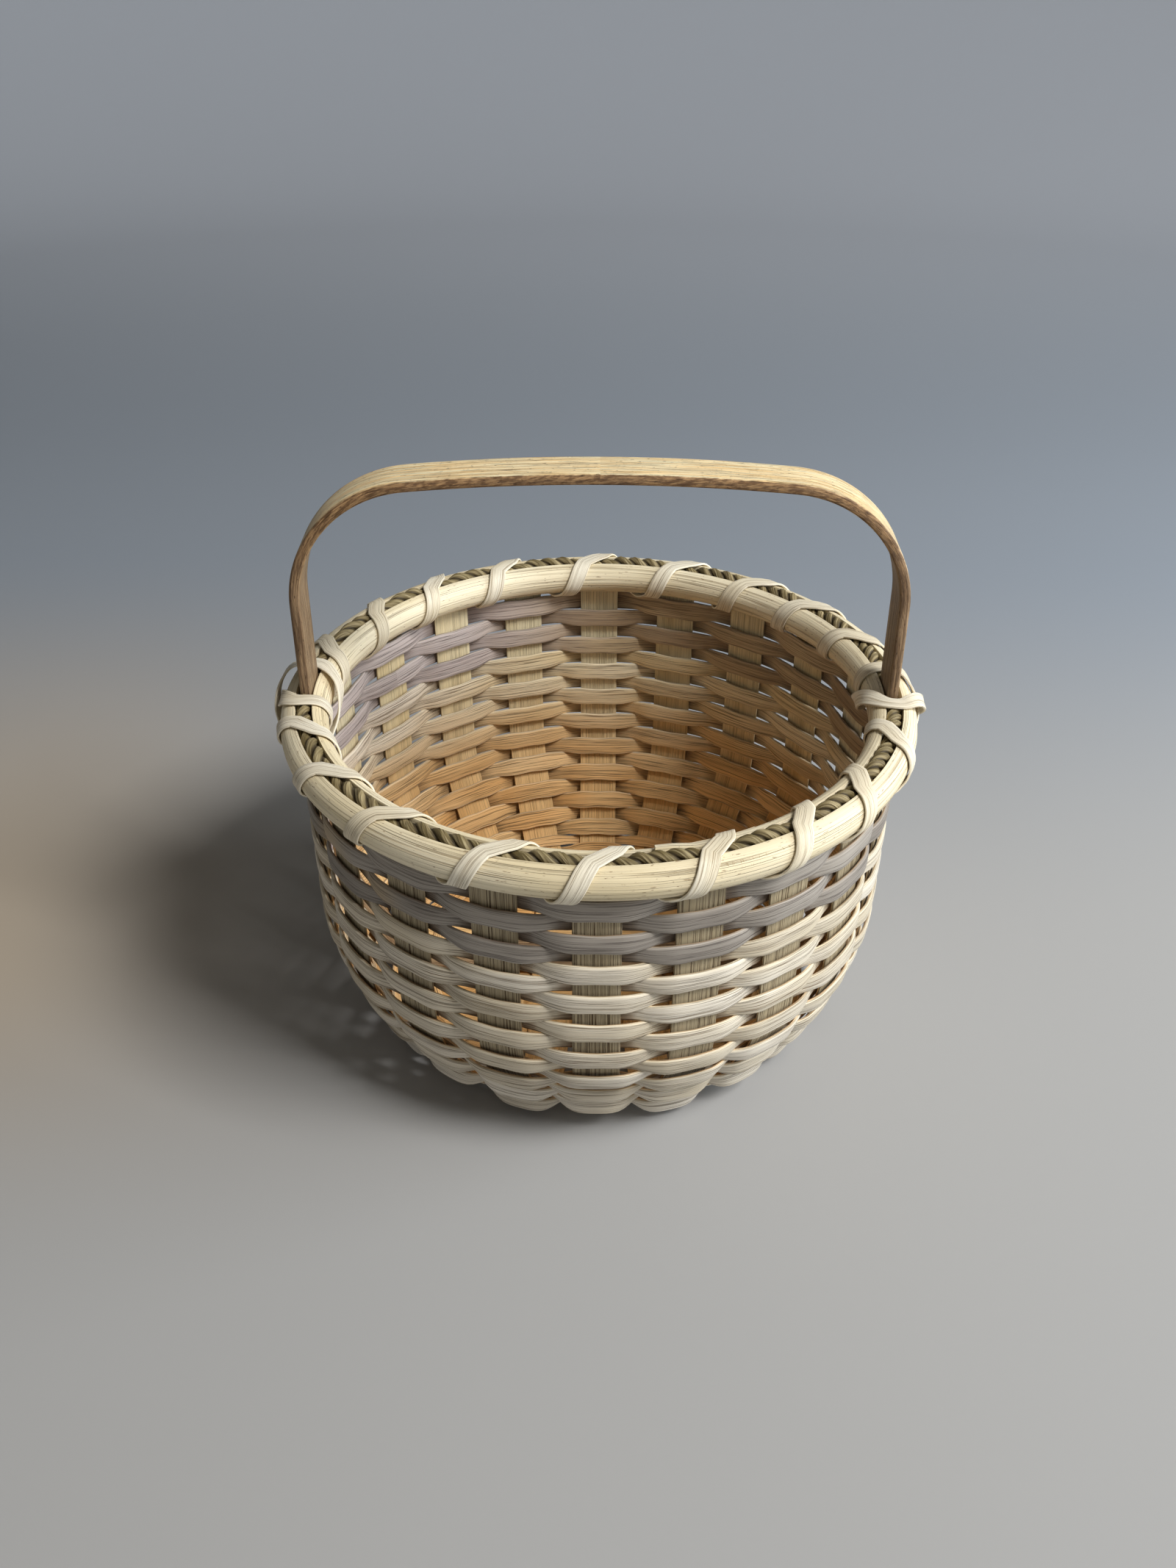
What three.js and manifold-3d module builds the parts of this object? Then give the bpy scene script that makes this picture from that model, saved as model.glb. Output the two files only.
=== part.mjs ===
// Round reed basket with a fixed bentwood handle, in millimetres, +Z up.
// The origin is on the floor, under the middle of the base. The handle spans +X to -X.
import * as THREE from 'three';
import Module from 'manifold-3d';
import { mergeVertices } from 'three/addons/utils/BufferGeometryUtils.js';

const DEG = Math.PI / 180;

// Reed stock
const STAKE_WIDTH = 16.4;
const STAKE_THICK = 1.1;
const WEAVER_THICK = 1.7;
const BASE_WEAVER_WIDTH = 4.4;
const BASE_WEAVER_THICK = 1.2;
const WEAVE_GAP = 0.35;
const STAKE_EDGE_EASE = 1.0;

// Layout of the stakes and the plaited mat in the base
const SPOKES_PER_SIDE = 5;
const STAKE_COUNT = 4 * SPOKES_PER_SIDE;
const STAKE_ANGLE = (360 / STAKE_COUNT) * DEG;
const MAT_SPACE = 2.6;
const MAT_EDGE_EASE = 0.2;
const SPLAY_RUN = 2.5;
const SPLAY_CLEAR = 3.1;
const SPLAY_STEP = 1.5;

// Wall shape, along the middle of a stake
const RIM_RADIUS = 108.35;
const KNEE_INSET = 25.35;
const KNEE_BEND = 20;
const SHOULDER_INSET = 1.75;
const SHOULDER_HEIGHT = 44;
const SHOULDER_BEND = 55;
const LEAST_STEP = 0.5;
const KNEE_STEPS = 6;
const SHOULDER_STEPS = 4;
const WALL_STEPS = 3;

// Rows of weaving
const WALL_ROWS = 18;
const ROW_GAP = 0.4;
const TOP_ROW_DROP = 7.7;
const DYED_ROWS = 4;
const FLOOR_EASE = 0.08;
const BASE_ROWS = 4;
const BASE_ROW_PITCH = 5.0;
const BASE_ROW_START = 5.8;
const BASE_ROW_CLEAR = 4.55;

// Rim: two half-round hoops with a filler in the channel between them
const HOOP_HEIGHT = 12.7;
const HOOP_THICK = 5.8;
const HOOP_BOTTOM = 124.3;
const HOOP_SIDES = 5;
const HOOP_SCARF_ANGLE = 24 * DEG;
const SCARF_GAP = 0.3;
const SCARF_CUT_STEPS = 4;
const SCARF_OVERRUN = 0.2;
const SCARF_CUT_SPARE = 2;
const OUTER_SCARF_START = 112 * DEG;
const INNER_SCARF_START = 276 * DEG;
const RIM_ROW_RISE = 3.75;
const FILLER_DIAMETER = 4.7;
const FILLER_DROP = 2.8;
const FILLER_SIDES = 6;
const FILLER_END_GAP = 0.6;
const RIM_GAP = 0.3;

// Handle: a closed bow that runs down both walls and across the base
const HANDLE_WIDTH = 17.5;
const HANDLE_THICK = 3.8;
const HANDLE_TAIL_THICK = 3.0;
const HANDLE_EDGE = 0.8;
const HANDLE_RISE = 85.6;
const HANDLE_PROUD = 1.15;
const HANDLE_BEND = 47;
const HANDLE_CROWN = 723;
const HANDLE_PUSH = 1.5;
const HANDLE_PUSH_LOW = 55;
const HANDLE_PUSH_HIGH = 100;
const HANDLE_STAKE_SHORT = 2.8;
const HANDLE_LEG_RISE = 2;
const BEND_STEPS = 9;
const CROWN_STEPS = 3;

// Lashing: one flat strip, a turn for each stake and a crossed pair at each handle leg
const LASH_WIDTH = 6.5;
const LASH_THICK = 0.9;
const LASH_GAP = 0.5;
const LASH_DROP = 1.1;
const LASH_UNDER_REACH = 1;
const LASH_TOP_LEAN = 0.4;
// Shares of a turn's path: under the rim, up the outer face, over the top, down the inner face, under again.
// The angles are the half of its way over the top and the way it goes on each face
const LASH_PATH = [0, 0.154, 0.46, 0.54, 0.846, 1];
const LASH_OVER_ANGLE = 2.0 * DEG;
const LASH_FACE_ANGLE = 4.2 * DEG;
const LASH_SHIFT_LIMIT = 1.5;
const LASH_PAIR_ANGLE = 2.0 * DEG;
const EYE_ANGLE = 7.4 * DEG;
const EYE_LIFT = 2.25;
const EYE_CROSS_OUTSIDE = 0.25;
const EYE_CROSS_INSIDE = 0.8;
const EYE_CROSS_REACH = 0.22;
// How far each plain turn leans past its stake where it crosses the top, from the right leg round
const TURN_LEAN_BACK = [3.0, 1, -1.5, -1, 1.5, 4.2, 3.8, 2.5, 3];
const TURN_LEAN_FRONT = [-1, -2, -2, 1.5, 1, 2.5, 1.8, 0, 0];

// Values that follow from the sizes above
const KNEE_RADIUS_OUT = RIM_RADIUS - KNEE_INSET;
const SHOULDER_RADIUS_OUT = RIM_RADIUS - SHOULDER_INSET;
const WEAVE_REACH = STAKE_THICK / 2 + WEAVE_GAP + WEAVER_THICK / 2;
const BASE_REACH = STAKE_THICK / 2 + WEAVE_GAP + BASE_WEAVER_THICK / 2;
const FLOOR_LEVEL = BASE_REACH + BASE_WEAVER_THICK / 2 + FLOOR_EASE;
const MAT_LIFT = (STAKE_THICK + WEAVE_GAP) / 2;
const MAT_LEVEL = MAT_LIFT + STAKE_THICK / 2;
const MAT_PITCH = STAKE_WIDTH + MAT_SPACE;
const MAT_REACH = STAKE_WIDTH / 2 + MAT_EDGE_EASE;
const MAT_ROW_OUT = ((SPOKES_PER_SIDE - 1) / 2) * MAT_PITCH;
const MAT_END = MAT_ROW_OUT + MAT_REACH + SPLAY_RUN;
const SPLAY_RADIUS = Math.hypot(MAT_END, MAT_ROW_OUT) + SPLAY_CLEAR;
const CHANNEL_HALF = WEAVE_REACH + WEAVER_THICK / 2 + RIM_GAP;
const OUTER_FACE = RIM_RADIUS + CHANNEL_HALF;
const INNER_FACE = RIM_RADIUS - CHANNEL_HALF;
const HOOP_TOP = HOOP_BOTTOM + HOOP_HEIGHT;
const HANDLE_TOP = HOOP_TOP + HANDLE_RISE;
const HANDLE_LEG_OUT = RIM_RADIUS + HANDLE_PROUD;
const HOOP_MIDDLE = HOOP_BOTTOM + HOOP_HEIGHT / 2;
const RIM_ROW_HEIGHT = HOOP_BOTTOM + RIM_ROW_RISE;
const FILLER_HEIGHT = HOOP_TOP - FILLER_DROP;
const STAKE_TOP = FILLER_HEIGHT - FILLER_DIAMETER / 2 - RIM_GAP;

// Colours of the reeds and woods
const NATURAL_REED = new THREE.MeshStandardMaterial({ color: 0xd9c596, roughness: 0.72, metalness: 0 });
const DYED_REED = new THREE.MeshStandardMaterial({ color: 0xa89a92, roughness: 0.75, metalness: 0 });
const HOOP_REED = new THREE.MeshStandardMaterial({ color: 0xe6d5aa, roughness: 0.6, metalness: 0 });
const LASH_REED = new THREE.MeshStandardMaterial({ color: 0xeee1c4, roughness: 0.6, metalness: 0 });
const SEAGRASS = new THREE.MeshStandardMaterial({ color: 0x8a7548, roughness: 0.8, metalness: 0 });
const OAK = new THREE.MeshStandardMaterial({ color: 0xa87c50, roughness: 0.6, metalness: 0 });

// A closed body through a row of like outlines, either capped at both ends or joined into a loop.
// Faces opposite each other are split along like diagonals, so a twisted strip keeps its thickness.
function bodyThrough(outlines, loop = false) {
  const sides = outlines[0].length;
  const positions = outlines.flat().flatMap((p) => [p.x, p.y, p.z]);
  const faces = [];
  const spans = loop ? outlines.length : outlines.length - 1;
  for (let i = 0; i < spans; i += 1) {
    const near = i * sides;
    const far = ((i + 1) % outlines.length) * sides;
    for (let k = 0; k < sides; k += 1) {
      const next = (k + 1) % sides;
      if (k < sides / 2) {
        faces.push(near + k, near + next, far + next);
        faces.push(near + k, far + next, far + k);
      } else {
        faces.push(near + k, near + next, far + k);
        faces.push(near + next, far + next, far + k);
      }
    }
  }
  if (!loop) {
    const last = (outlines.length - 1) * sides;
    for (let k = 1; k < sides - 1; k += 1) {
      faces.push(0, k + 1, k);
      faces.push(last, last + k, last + k + 1);
    }
  }
  if (volumeOf(positions, faces) < 0) {
    faces.reverse();
  }
  const geometry = new THREE.BufferGeometry();
  geometry.setAttribute('position', new THREE.Float32BufferAttribute(positions, 3));
  geometry.setIndex(faces);
  geometry.computeVertexNormals();
  return geometry;
}

function volumeOf(positions, faces) {
  const corner = (i) => new THREE.Vector3().fromArray(positions, faces[i] * 3);
  let total = 0;
  for (let i = 0; i < faces.length; i += 3) {
    total += corner(i).dot(corner(i + 1).cross(corner(i + 2))) / 6;
  }
  return total;
}

// A flat four-cornered section of a strip
function stripSection(centre, across, outward, width, thick) {
  const corners = [[-1, -1], [1, -1], [1, 1], [-1, 1]];
  return corners.map(([a, b]) => centre.clone()
    .addScaledVector(across, (a * width) / 2)
    .addScaledVector(outward, (b * thick) / 2));
}

// The wall's half outline (r, z): straight runs joined by round bends, from the axis to the rim
class Meridian {
  constructor(corners, bends) {
    this.parts = [];
    let from = corners[0].clone();
    for (let i = 1; i < corners.length; i += 1) {
      const along = corners[i].clone().sub(corners[i - 1]).normalize();
      if (i === corners.length - 1) {
        this.addRun(from, corners[i], along);
        break;
      }
      const onward = corners[i + 1].clone().sub(corners[i]).normalize();
      const turn = Math.atan2(along.cross(onward), along.dot(onward));
      const cut = bends[i - 1] * Math.tan(turn / 2);
      const start = corners[i].clone().addScaledVector(along, -cut);
      const end = corners[i].clone().addScaledVector(onward, cut);
      this.addRun(from, start, along);
      const centre = start.clone().add(new THREE.Vector2(-along.y, along.x).multiplyScalar(bends[i - 1]));
      this.parts.push({ start, centre, radius: bends[i - 1], turn, length: bends[i - 1] * turn });
      from = end;
    }
    this.length = this.parts.reduce((sum, part) => sum + part.length, 0);
  }

  addRun(from, to, along) {
    this.parts.push({ start: from.clone(), along: along.clone(), length: from.distanceTo(to) });
  }

  // Point and direction at a distance from the axis, measured along the stake
  at(distance) {
    let left = distance;
    const last = this.parts.length - 1;
    for (const [i, part] of this.parts.entries()) {
      if (left <= part.length || i === last) {
        if (part.along) {
          return { point: part.start.clone().addScaledVector(part.along, left), along: part.along };
        }
        const angle = left / part.radius;
        const point = part.start.clone().rotateAround(part.centre, angle);
        const spoke = point.clone().sub(part.centre).normalize();
        return { point, along: new THREE.Vector2(-spoke.y, spoke.x) };
      }
      left -= part.length;
    }
    throw new Error('empty outline');
  }

  distanceWhere(reached) {
    let low = 0;
    let high = this.length;
    for (let i = 0; i < 60; i += 1) {
      const middle = (low + high) / 2;
      if (reached(this.at(middle).point)) {
        high = middle;
      } else {
        low = middle;
      }
    }
    return high;
  }
}

const wall = new Meridian([
  new THREE.Vector2(0, FLOOR_LEVEL),
  new THREE.Vector2(KNEE_RADIUS_OUT, FLOOR_LEVEL),
  new THREE.Vector2(SHOULDER_RADIUS_OUT, SHOULDER_HEIGHT),
  new THREE.Vector2(RIM_RADIUS, STAKE_TOP),
], [KNEE_BEND, SHOULDER_BEND]);

// The base rows are counted out from the mat, and the wall rows share the way from there to the rim
const TOP_ROW_AT = wall.distanceWhere((p) => p.y >= HOOP_BOTTOM - TOP_ROW_DROP);
const BASE_ROW_AT = SPLAY_RADIUS + BASE_ROW_CLEAR + (BASE_ROWS - 1) * BASE_ROW_PITCH;
const ROW_PITCH = (TOP_ROW_AT - BASE_ROW_AT - BASE_ROW_START) / (WALL_ROWS - 1);
const WEAVER_WIDTH = ROW_PITCH - ROW_GAP;
const RIM_ROW_AT = wall.distanceWhere((p) => p.y >= RIM_ROW_HEIGHT);

function isHandleStake(stake) {
  return stake % (STAKE_COUNT / 2) === 0;
}

// The two stakes behind the handle legs stand a little further out, to make room for them
function pushOut(stake, height) {
  if (!isHandleStake(stake)) {
    return 0;
  }
  return HANDLE_PUSH * THREE.MathUtils.smoothstep(height, HANDLE_PUSH_LOW, HANDLE_PUSH_HIGH);
}

// Place and directions on a stake's middle line, at a distance along the wall's outline.
// A spoke that is turned into place afterwards says by how many stakes.
function stakeFrame(stake, distance, turnedBy = 0) {
  const { point, along } = wall.at(distance);
  const angle = stake * STAKE_ANGLE;
  const outward = new THREE.Vector3(along.y * Math.cos(angle), along.y * Math.sin(angle), -along.x);
  const up = new THREE.Vector3(along.x * Math.cos(angle), along.x * Math.sin(angle), along.y);
  const side = new THREE.Vector3(-Math.sin(angle), Math.cos(angle), 0);
  const centre = new THREE.Vector3(point.x * Math.cos(angle), point.x * Math.sin(angle), point.y);
  const below = distance < (RIM_ROW_AT + TOP_ROW_AT) / 2;
  centre.addScaledVector(outward, below ? pushOut(stake + turnedBy, point.y) : 0);
  return { centre, outward, up, side };
}

// One start-and-stop row: a closed ring that passes outside and inside the stakes by turns
function weaverRow(distance, outsideOdd, width, thick) {
  const reach = STAKE_THICK / 2 + WEAVE_GAP + thick / 2;
  const outlines = [];
  for (let stake = 0; stake < STAKE_COUNT; stake += 1) {
    const { centre, outward, up, side } = stakeFrame(stake, distance);
    const outside = (stake % 2 === 1) === outsideOdd;
    for (const end of [-1, 1]) {
      const place = centre.clone()
        .addScaledVector(outward, outside ? reach : -reach)
        .addScaledVector(side, end * (STAKE_WIDTH / 2 + STAKE_EDGE_EASE));
      outlines.push(stripSection(place, up, outward, width, thick));
    }
  }
  return bodyThrough(outlines, true);
}

// Distances along the wall at which a strip that follows it needs a section
function wallStations(from, to) {
  const stations = [from];
  let start = 0;
  for (const part of wall.parts) {
    const bendSteps = part.radius === KNEE_BEND ? KNEE_STEPS : SHOULDER_STEPS;
    const steps = part.radius ? bendSteps : WALL_STEPS;
    for (let i = 0; i <= steps; i += 1) {
      stations.push(start + (part.length * i) / steps);
    }
    start += part.length;
  }
  stations.push(to);
  const inside = stations.filter((s) => s >= from && s <= to).sort((a, b) => a - b);
  return inside.filter((s, i) => i === 0 || s - inside[i - 1] > LEAST_STEP || s === to);
}

// Half of a spoke in the base, from the middle of the mat out to where it meets the wall's outline
function matStations(index, raised) {
  const stations = [];
  const y = index * MAT_PITCH;
  const across = new THREE.Vector3(0, 1, 0);
  for (let column = 0; column <= (SPOKES_PER_SIDE - 1) / 2; column += 1) {
    const over = (Math.abs(index + column) % 2 === 0) === raised;
    const level = MAT_LEVEL + (over ? MAT_LIFT : -MAT_LIFT);
    if (column > 0) {
      stations.push({ centre: new THREE.Vector3(column * MAT_PITCH - MAT_REACH, y, level), across });
    }
    stations.push({ centre: new THREE.Vector3(column * MAT_PITCH + MAT_REACH, y, level), across });
  }
  stations.push({ centre: new THREE.Vector3(MAT_END, y, FLOOR_LEVEL), across });
  const angle = index * STAKE_ANGLE;
  const bent = angle / 2;
  stations.push({
    centre: new THREE.Vector3(SPLAY_RADIUS * Math.cos(angle), SPLAY_RADIUS * Math.sin(angle), FLOOR_LEVEL),
    across: new THREE.Vector3(-Math.sin(bent), Math.cos(bent), 0),
  });
  return stations;
}

// A long flat spoke: up one wall, through the mat and up the wall opposite
function spoke(index, raised) {
  const turnedBy = raised ? 0 : SPOKES_PER_SIDE;
  const halfOutlines = (mirror) => {
    const sign = mirror ? -1 : 1;
    const stake = mirror ? STAKE_COUNT / 2 - index : (index + STAKE_COUNT) % STAKE_COUNT;
    const down = new THREE.Vector3(0, 0, -1);
    const outlines = matStations(index, raised).map(({ centre, across }) => {
      const place = new THREE.Vector3(sign * centre.x, centre.y, centre.z);
      const wide = new THREE.Vector3(sign * across.x, across.y, 0);
      return stripSection(place, wide, down, STAKE_WIDTH, STAKE_THICK);
    });
    const full = wall.length - (raised && index === 0 ? STAKE_TOP - HOOP_BOTTOM + HANDLE_STAKE_SHORT : 0);
    for (const distance of wallStations(SPLAY_RADIUS + SPLAY_STEP, full)) {
      const { centre, outward, side } = stakeFrame(stake, distance, turnedBy);
      outlines.push(stripSection(centre, side.multiplyScalar(sign), outward, STAKE_WIDTH, STAKE_THICK));
    }
    return outlines;
  };
  return bodyThrough([...halfOutlines(true).reverse(), ...halfOutlines(false)]);
}

// Half-round outline of a hoop, flat side on the channel: pairs of radius and height
function hoopProfile(face, outward) {
  const profile = [];
  for (let i = 0; i <= HOOP_SIDES; i += 1) {
    const angle = (-90 + (180 * i) / HOOP_SIDES) * DEG;
    profile.push([face + outward * HOOP_THICK * Math.cos(angle),
      HOOP_MIDDLE + (HOOP_HEIGHT / 2) * Math.sin(angle)]);
  }
  return profile;
}

const HOOP_STEPS = 2 * STAKE_COUNT;
const HOOP_STEP = (360 / HOOP_STEPS) * DEG;

// Radius of a corner of the hoops, whose flats face the stakes
function cornerRadius(flatRadius) {
  return flatRadius / Math.cos(HOOP_STEP / 2);
}

function ringPoint(flatRadius, height, angle) {
  const radius = cornerRadius(flatRadius);
  return new THREE.Vector3(radius * Math.cos(angle), radius * Math.sin(angle), height);
}

const wasm = await Module();
wasm.setup();

function toSolid(geometry) {
  const bare = new THREE.BufferGeometry();
  bare.setAttribute('position', geometry.getAttribute('position'));
  bare.setIndex(geometry.getIndex());
  const merged = mergeVertices(bare);
  return new wasm.Manifold(new wasm.Mesh({
    numProp: 3,
    vertProperties: new Float32Array(merged.getAttribute('position').array),
    triVerts: new Uint32Array(merged.getIndex().array),
  }));
}

function toGeometry(solid) {
  const mesh = solid.getMesh();
  const geometry = new THREE.BufferGeometry();
  geometry.setAttribute('position', new THREE.BufferAttribute(mesh.vertProperties, 3));
  geometry.setIndex(new THREE.BufferAttribute(mesh.triVerts, 1));
  geometry.computeVertexNormals();
  return geometry;
}

// A hoop bent from one rod, with its two ends cut to a long scarf that leaves a thin gap
function hoop(face, outward, scarfStart) {
  const profile = hoopProfile(face, outward);
  const outlines = [];
  for (let i = 0; i < HOOP_STEPS; i += 1) {
    const angle = (i + 0.5) * HOOP_STEP;
    outlines.push(profile.map(([radius, height]) => ringPoint(radius, height, angle)));
  }
  const cut = [];
  for (let i = 0; i <= SCARF_CUT_STEPS; i += 1) {
    const share = -SCARF_OVERRUN + ((1 + 2 * SCARF_OVERRUN) * i) / SCARF_CUT_STEPS;
    const angle = scarfStart + HOOP_SCARF_ANGLE * share;
    const radius = face + outward * HOOP_THICK * share;
    const out = new THREE.Vector3(Math.cos(angle), Math.sin(angle), 0);
    const centre = out.clone().multiplyScalar(radius).setZ(HOOP_MIDDLE);
    const up = new THREE.Vector3(0, 0, 1);
    cut.push(stripSection(centre, up, out, HOOP_HEIGHT + SCARF_CUT_SPARE, SCARF_GAP));
  }
  return toGeometry(toSolid(bodyThrough(outlines, true)).subtract(toSolid(bodyThrough(cut))));
}

// Filler rope in the channel, from one handle leg to the other
function rimFiller(startAngle) {
  const endTurn = Math.asin((HANDLE_WIDTH / 2 + FILLER_END_GAP) / RIM_RADIUS);
  const angles = [startAngle + endTurn];
  for (let i = 1; i < HOOP_STEPS / 2 - 1; i += 1) {
    angles.push(startAngle + (i + 0.5) * HOOP_STEP);
  }
  angles.push(startAngle + Math.PI - endTurn);
  const outlines = angles.map((angle) => {
    const outline = [];
    for (let k = 0; k < FILLER_SIDES; k += 1) {
      const turn = (k / FILLER_SIDES) * 2 * Math.PI;
      const radius = RIM_RADIUS + (FILLER_DIAMETER / 2) * Math.sin(turn);
      outline.push(ringPoint(radius, FILLER_HEIGHT + (FILLER_DIAMETER / 2) * Math.cos(turn), angle));
    }
    return outline;
  });
  return bodyThrough(outlines);
}

// Section of the handle: a flat bar with eased edges
function handleSection(x, z, normalX, normalZ, thick) {
  const outline = [];
  const halfWidth = HANDLE_WIDTH / 2;
  const halfThick = thick / 2;
  const corners = [
    [-halfWidth + HANDLE_EDGE, -halfThick], [halfWidth - HANDLE_EDGE, -halfThick],
    [halfWidth, -halfThick + HANDLE_EDGE], [halfWidth, halfThick - HANDLE_EDGE],
    [halfWidth - HANDLE_EDGE, halfThick], [-halfWidth + HANDLE_EDGE, halfThick],
    [-halfWidth, halfThick - HANDLE_EDGE], [-halfWidth, -halfThick + HANDLE_EDGE],
  ];
  for (const [y, out] of corners) {
    outline.push(new THREE.Vector3(x + normalX * out, y, z + normalZ * out));
  }
  return outline;
}

// Places along half of the handle, from the middle of the top down the +X leg to the middle of the base
function handleStations() {
  const stations = [];
  const half = HANDLE_THICK / 2;
  const bendX = HANDLE_LEG_OUT - HANDLE_BEND;
  const crownZ = HANDLE_TOP - HANDLE_CROWN;
  const bendZ = crownZ + Math.sqrt((HANDLE_CROWN - HANDLE_BEND) ** 2 - bendX ** 2);
  const crownTurn = Math.asin(bendX / (HANDLE_CROWN - HANDLE_BEND));
  for (let i = 0; i < CROWN_STEPS; i += 1) {
    const turn = (crownTurn * i) / CROWN_STEPS;
    const radius = HANDLE_CROWN - half;
    stations.push([radius * Math.sin(turn), crownZ + radius * Math.cos(turn),
      Math.sin(turn), Math.cos(turn), HANDLE_THICK]);
  }
  for (let i = 0; i <= BEND_STEPS; i += 1) {
    const turn = crownTurn + ((Math.PI / 2 - crownTurn) * i) / BEND_STEPS;
    const radius = HANDLE_BEND - half;
    stations.push([bendX + radius * Math.sin(turn), bendZ + radius * Math.cos(turn),
      Math.sin(turn), Math.cos(turn), HANDLE_THICK]);
  }
  // The leg between the hoops, cut back so that the inner hoop and the rim row lie in its notches
  const notchIn = INNER_FACE + RIM_GAP;
  const notchOut = RIM_RADIUS + WEAVE_REACH - WEAVER_THICK / 2 - WEAVE_GAP;
  const tailGap = WEAVE_REACH + WEAVER_THICK / 2 + WEAVE_GAP;
  const rowTop = wall.at(TOP_ROW_AT + WEAVER_WIDTH / 2).point;
  const tailOut = rowTop.x + pushOut(0, rowTop.y) - tailGap;
  const tailIn = tailOut - HANDLE_TAIL_THICK;
  const leg = [
    [HOOP_TOP + HANDLE_LEG_RISE, HANDLE_LEG_OUT - HANDLE_THICK, HANDLE_LEG_OUT],
    [FILLER_HEIGHT, notchIn, HANDLE_LEG_OUT],
    [STAKE_TOP, notchIn, notchOut],
    [HOOP_BOTTOM - RIM_GAP, notchIn, notchOut],
    [HOOP_BOTTOM - 2 * RIM_GAP, tailIn, notchOut - RIM_GAP],
    [rowTop.y + RIM_GAP, tailIn, tailOut],
  ];
  for (const [z, low, high] of leg) {
    stations.push([(low + high) / 2, z, 1, 0, high - low]);
  }
  // The tail lies on the inside of the weaving and runs on across the base
  const baseGap = BASE_REACH + BASE_WEAVER_THICK / 2 + WEAVE_GAP;
  const down = wallStations(0, TOP_ROW_AT).reverse();
  for (const distance of down) {
    const { centre, outward } = stakeFrame(0, distance);
    const share = THREE.MathUtils.smoothstep(distance, BASE_ROW_AT - KNEE_BEND / 2, BASE_ROW_AT + KNEE_BEND);
    const gap = THREE.MathUtils.lerp(baseGap, tailGap, share) + HANDLE_TAIL_THICK / 2;
    stations.push([centre.x - outward.x * gap, centre.z - outward.z * gap,
      outward.x, outward.z, HANDLE_TAIL_THICK]);
  }
  return stations;
}

function handle() {
  const half = handleStations();
  const right = half.map(([x, z, nx, nz, thick]) => handleSection(x, z, nx, nz, thick));
  const left = half.slice(1, -1).reverse()
    .map(([x, z, nx, nz, thick]) => handleSection(-x, z, -nx, nz, thick));
  return bodyThrough([...right, ...left], true);
}

// Stations of one lashing turn round the rim's section: share of the turn, radius, height, outward normal
function lashTemplate() {
  const off = LASH_GAP + LASH_THICK / 2;
  const side = (outward, face, angle) => {
    const normal = new THREE.Vector2(outward * Math.cos(angle) / HOOP_THICK,
      Math.sin(angle) / (HOOP_HEIGHT / 2)).normalize();
    const radius = face + outward * HOOP_THICK * Math.cos(angle);
    const height = HOOP_MIDDLE + (HOOP_HEIGHT / 2) * Math.sin(angle);
    return [radius + normal.x * off, height + normal.y * off, normal];
  };
  const low = HOOP_BOTTOM - LASH_DROP;
  const high = HOOP_TOP + off;
  const up = [];
  for (let i = 1; i < HOOP_SIDES; i += 1) {
    up.push(side(1, OUTER_FACE, (-90 + (180 * i) / HOOP_SIDES) * DEG));
  }
  const down = [];
  for (let i = HOOP_SIDES - 1; i > 0; i -= 1) {
    down.push(side(-1, INNER_FACE, (-90 + (180 * i) / HOOP_SIDES) * DEG));
  }
  const lean = new THREE.Vector2(LASH_TOP_LEAN, 1).normalize();
  return [
    [RIM_RADIUS, low, new THREE.Vector2(0, -1)],
    [OUTER_FACE + LASH_UNDER_REACH, low, lean.clone().set(lean.x, -lean.y)],
    ...up,
    [OUTER_FACE, high, lean.clone()],
    [INNER_FACE, high, new THREE.Vector2(-lean.x, lean.y)],
    ...down,
    [INNER_FACE - LASH_UNDER_REACH, low, new THREE.Vector2(-lean.x, -lean.y)],
  ];
}

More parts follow.
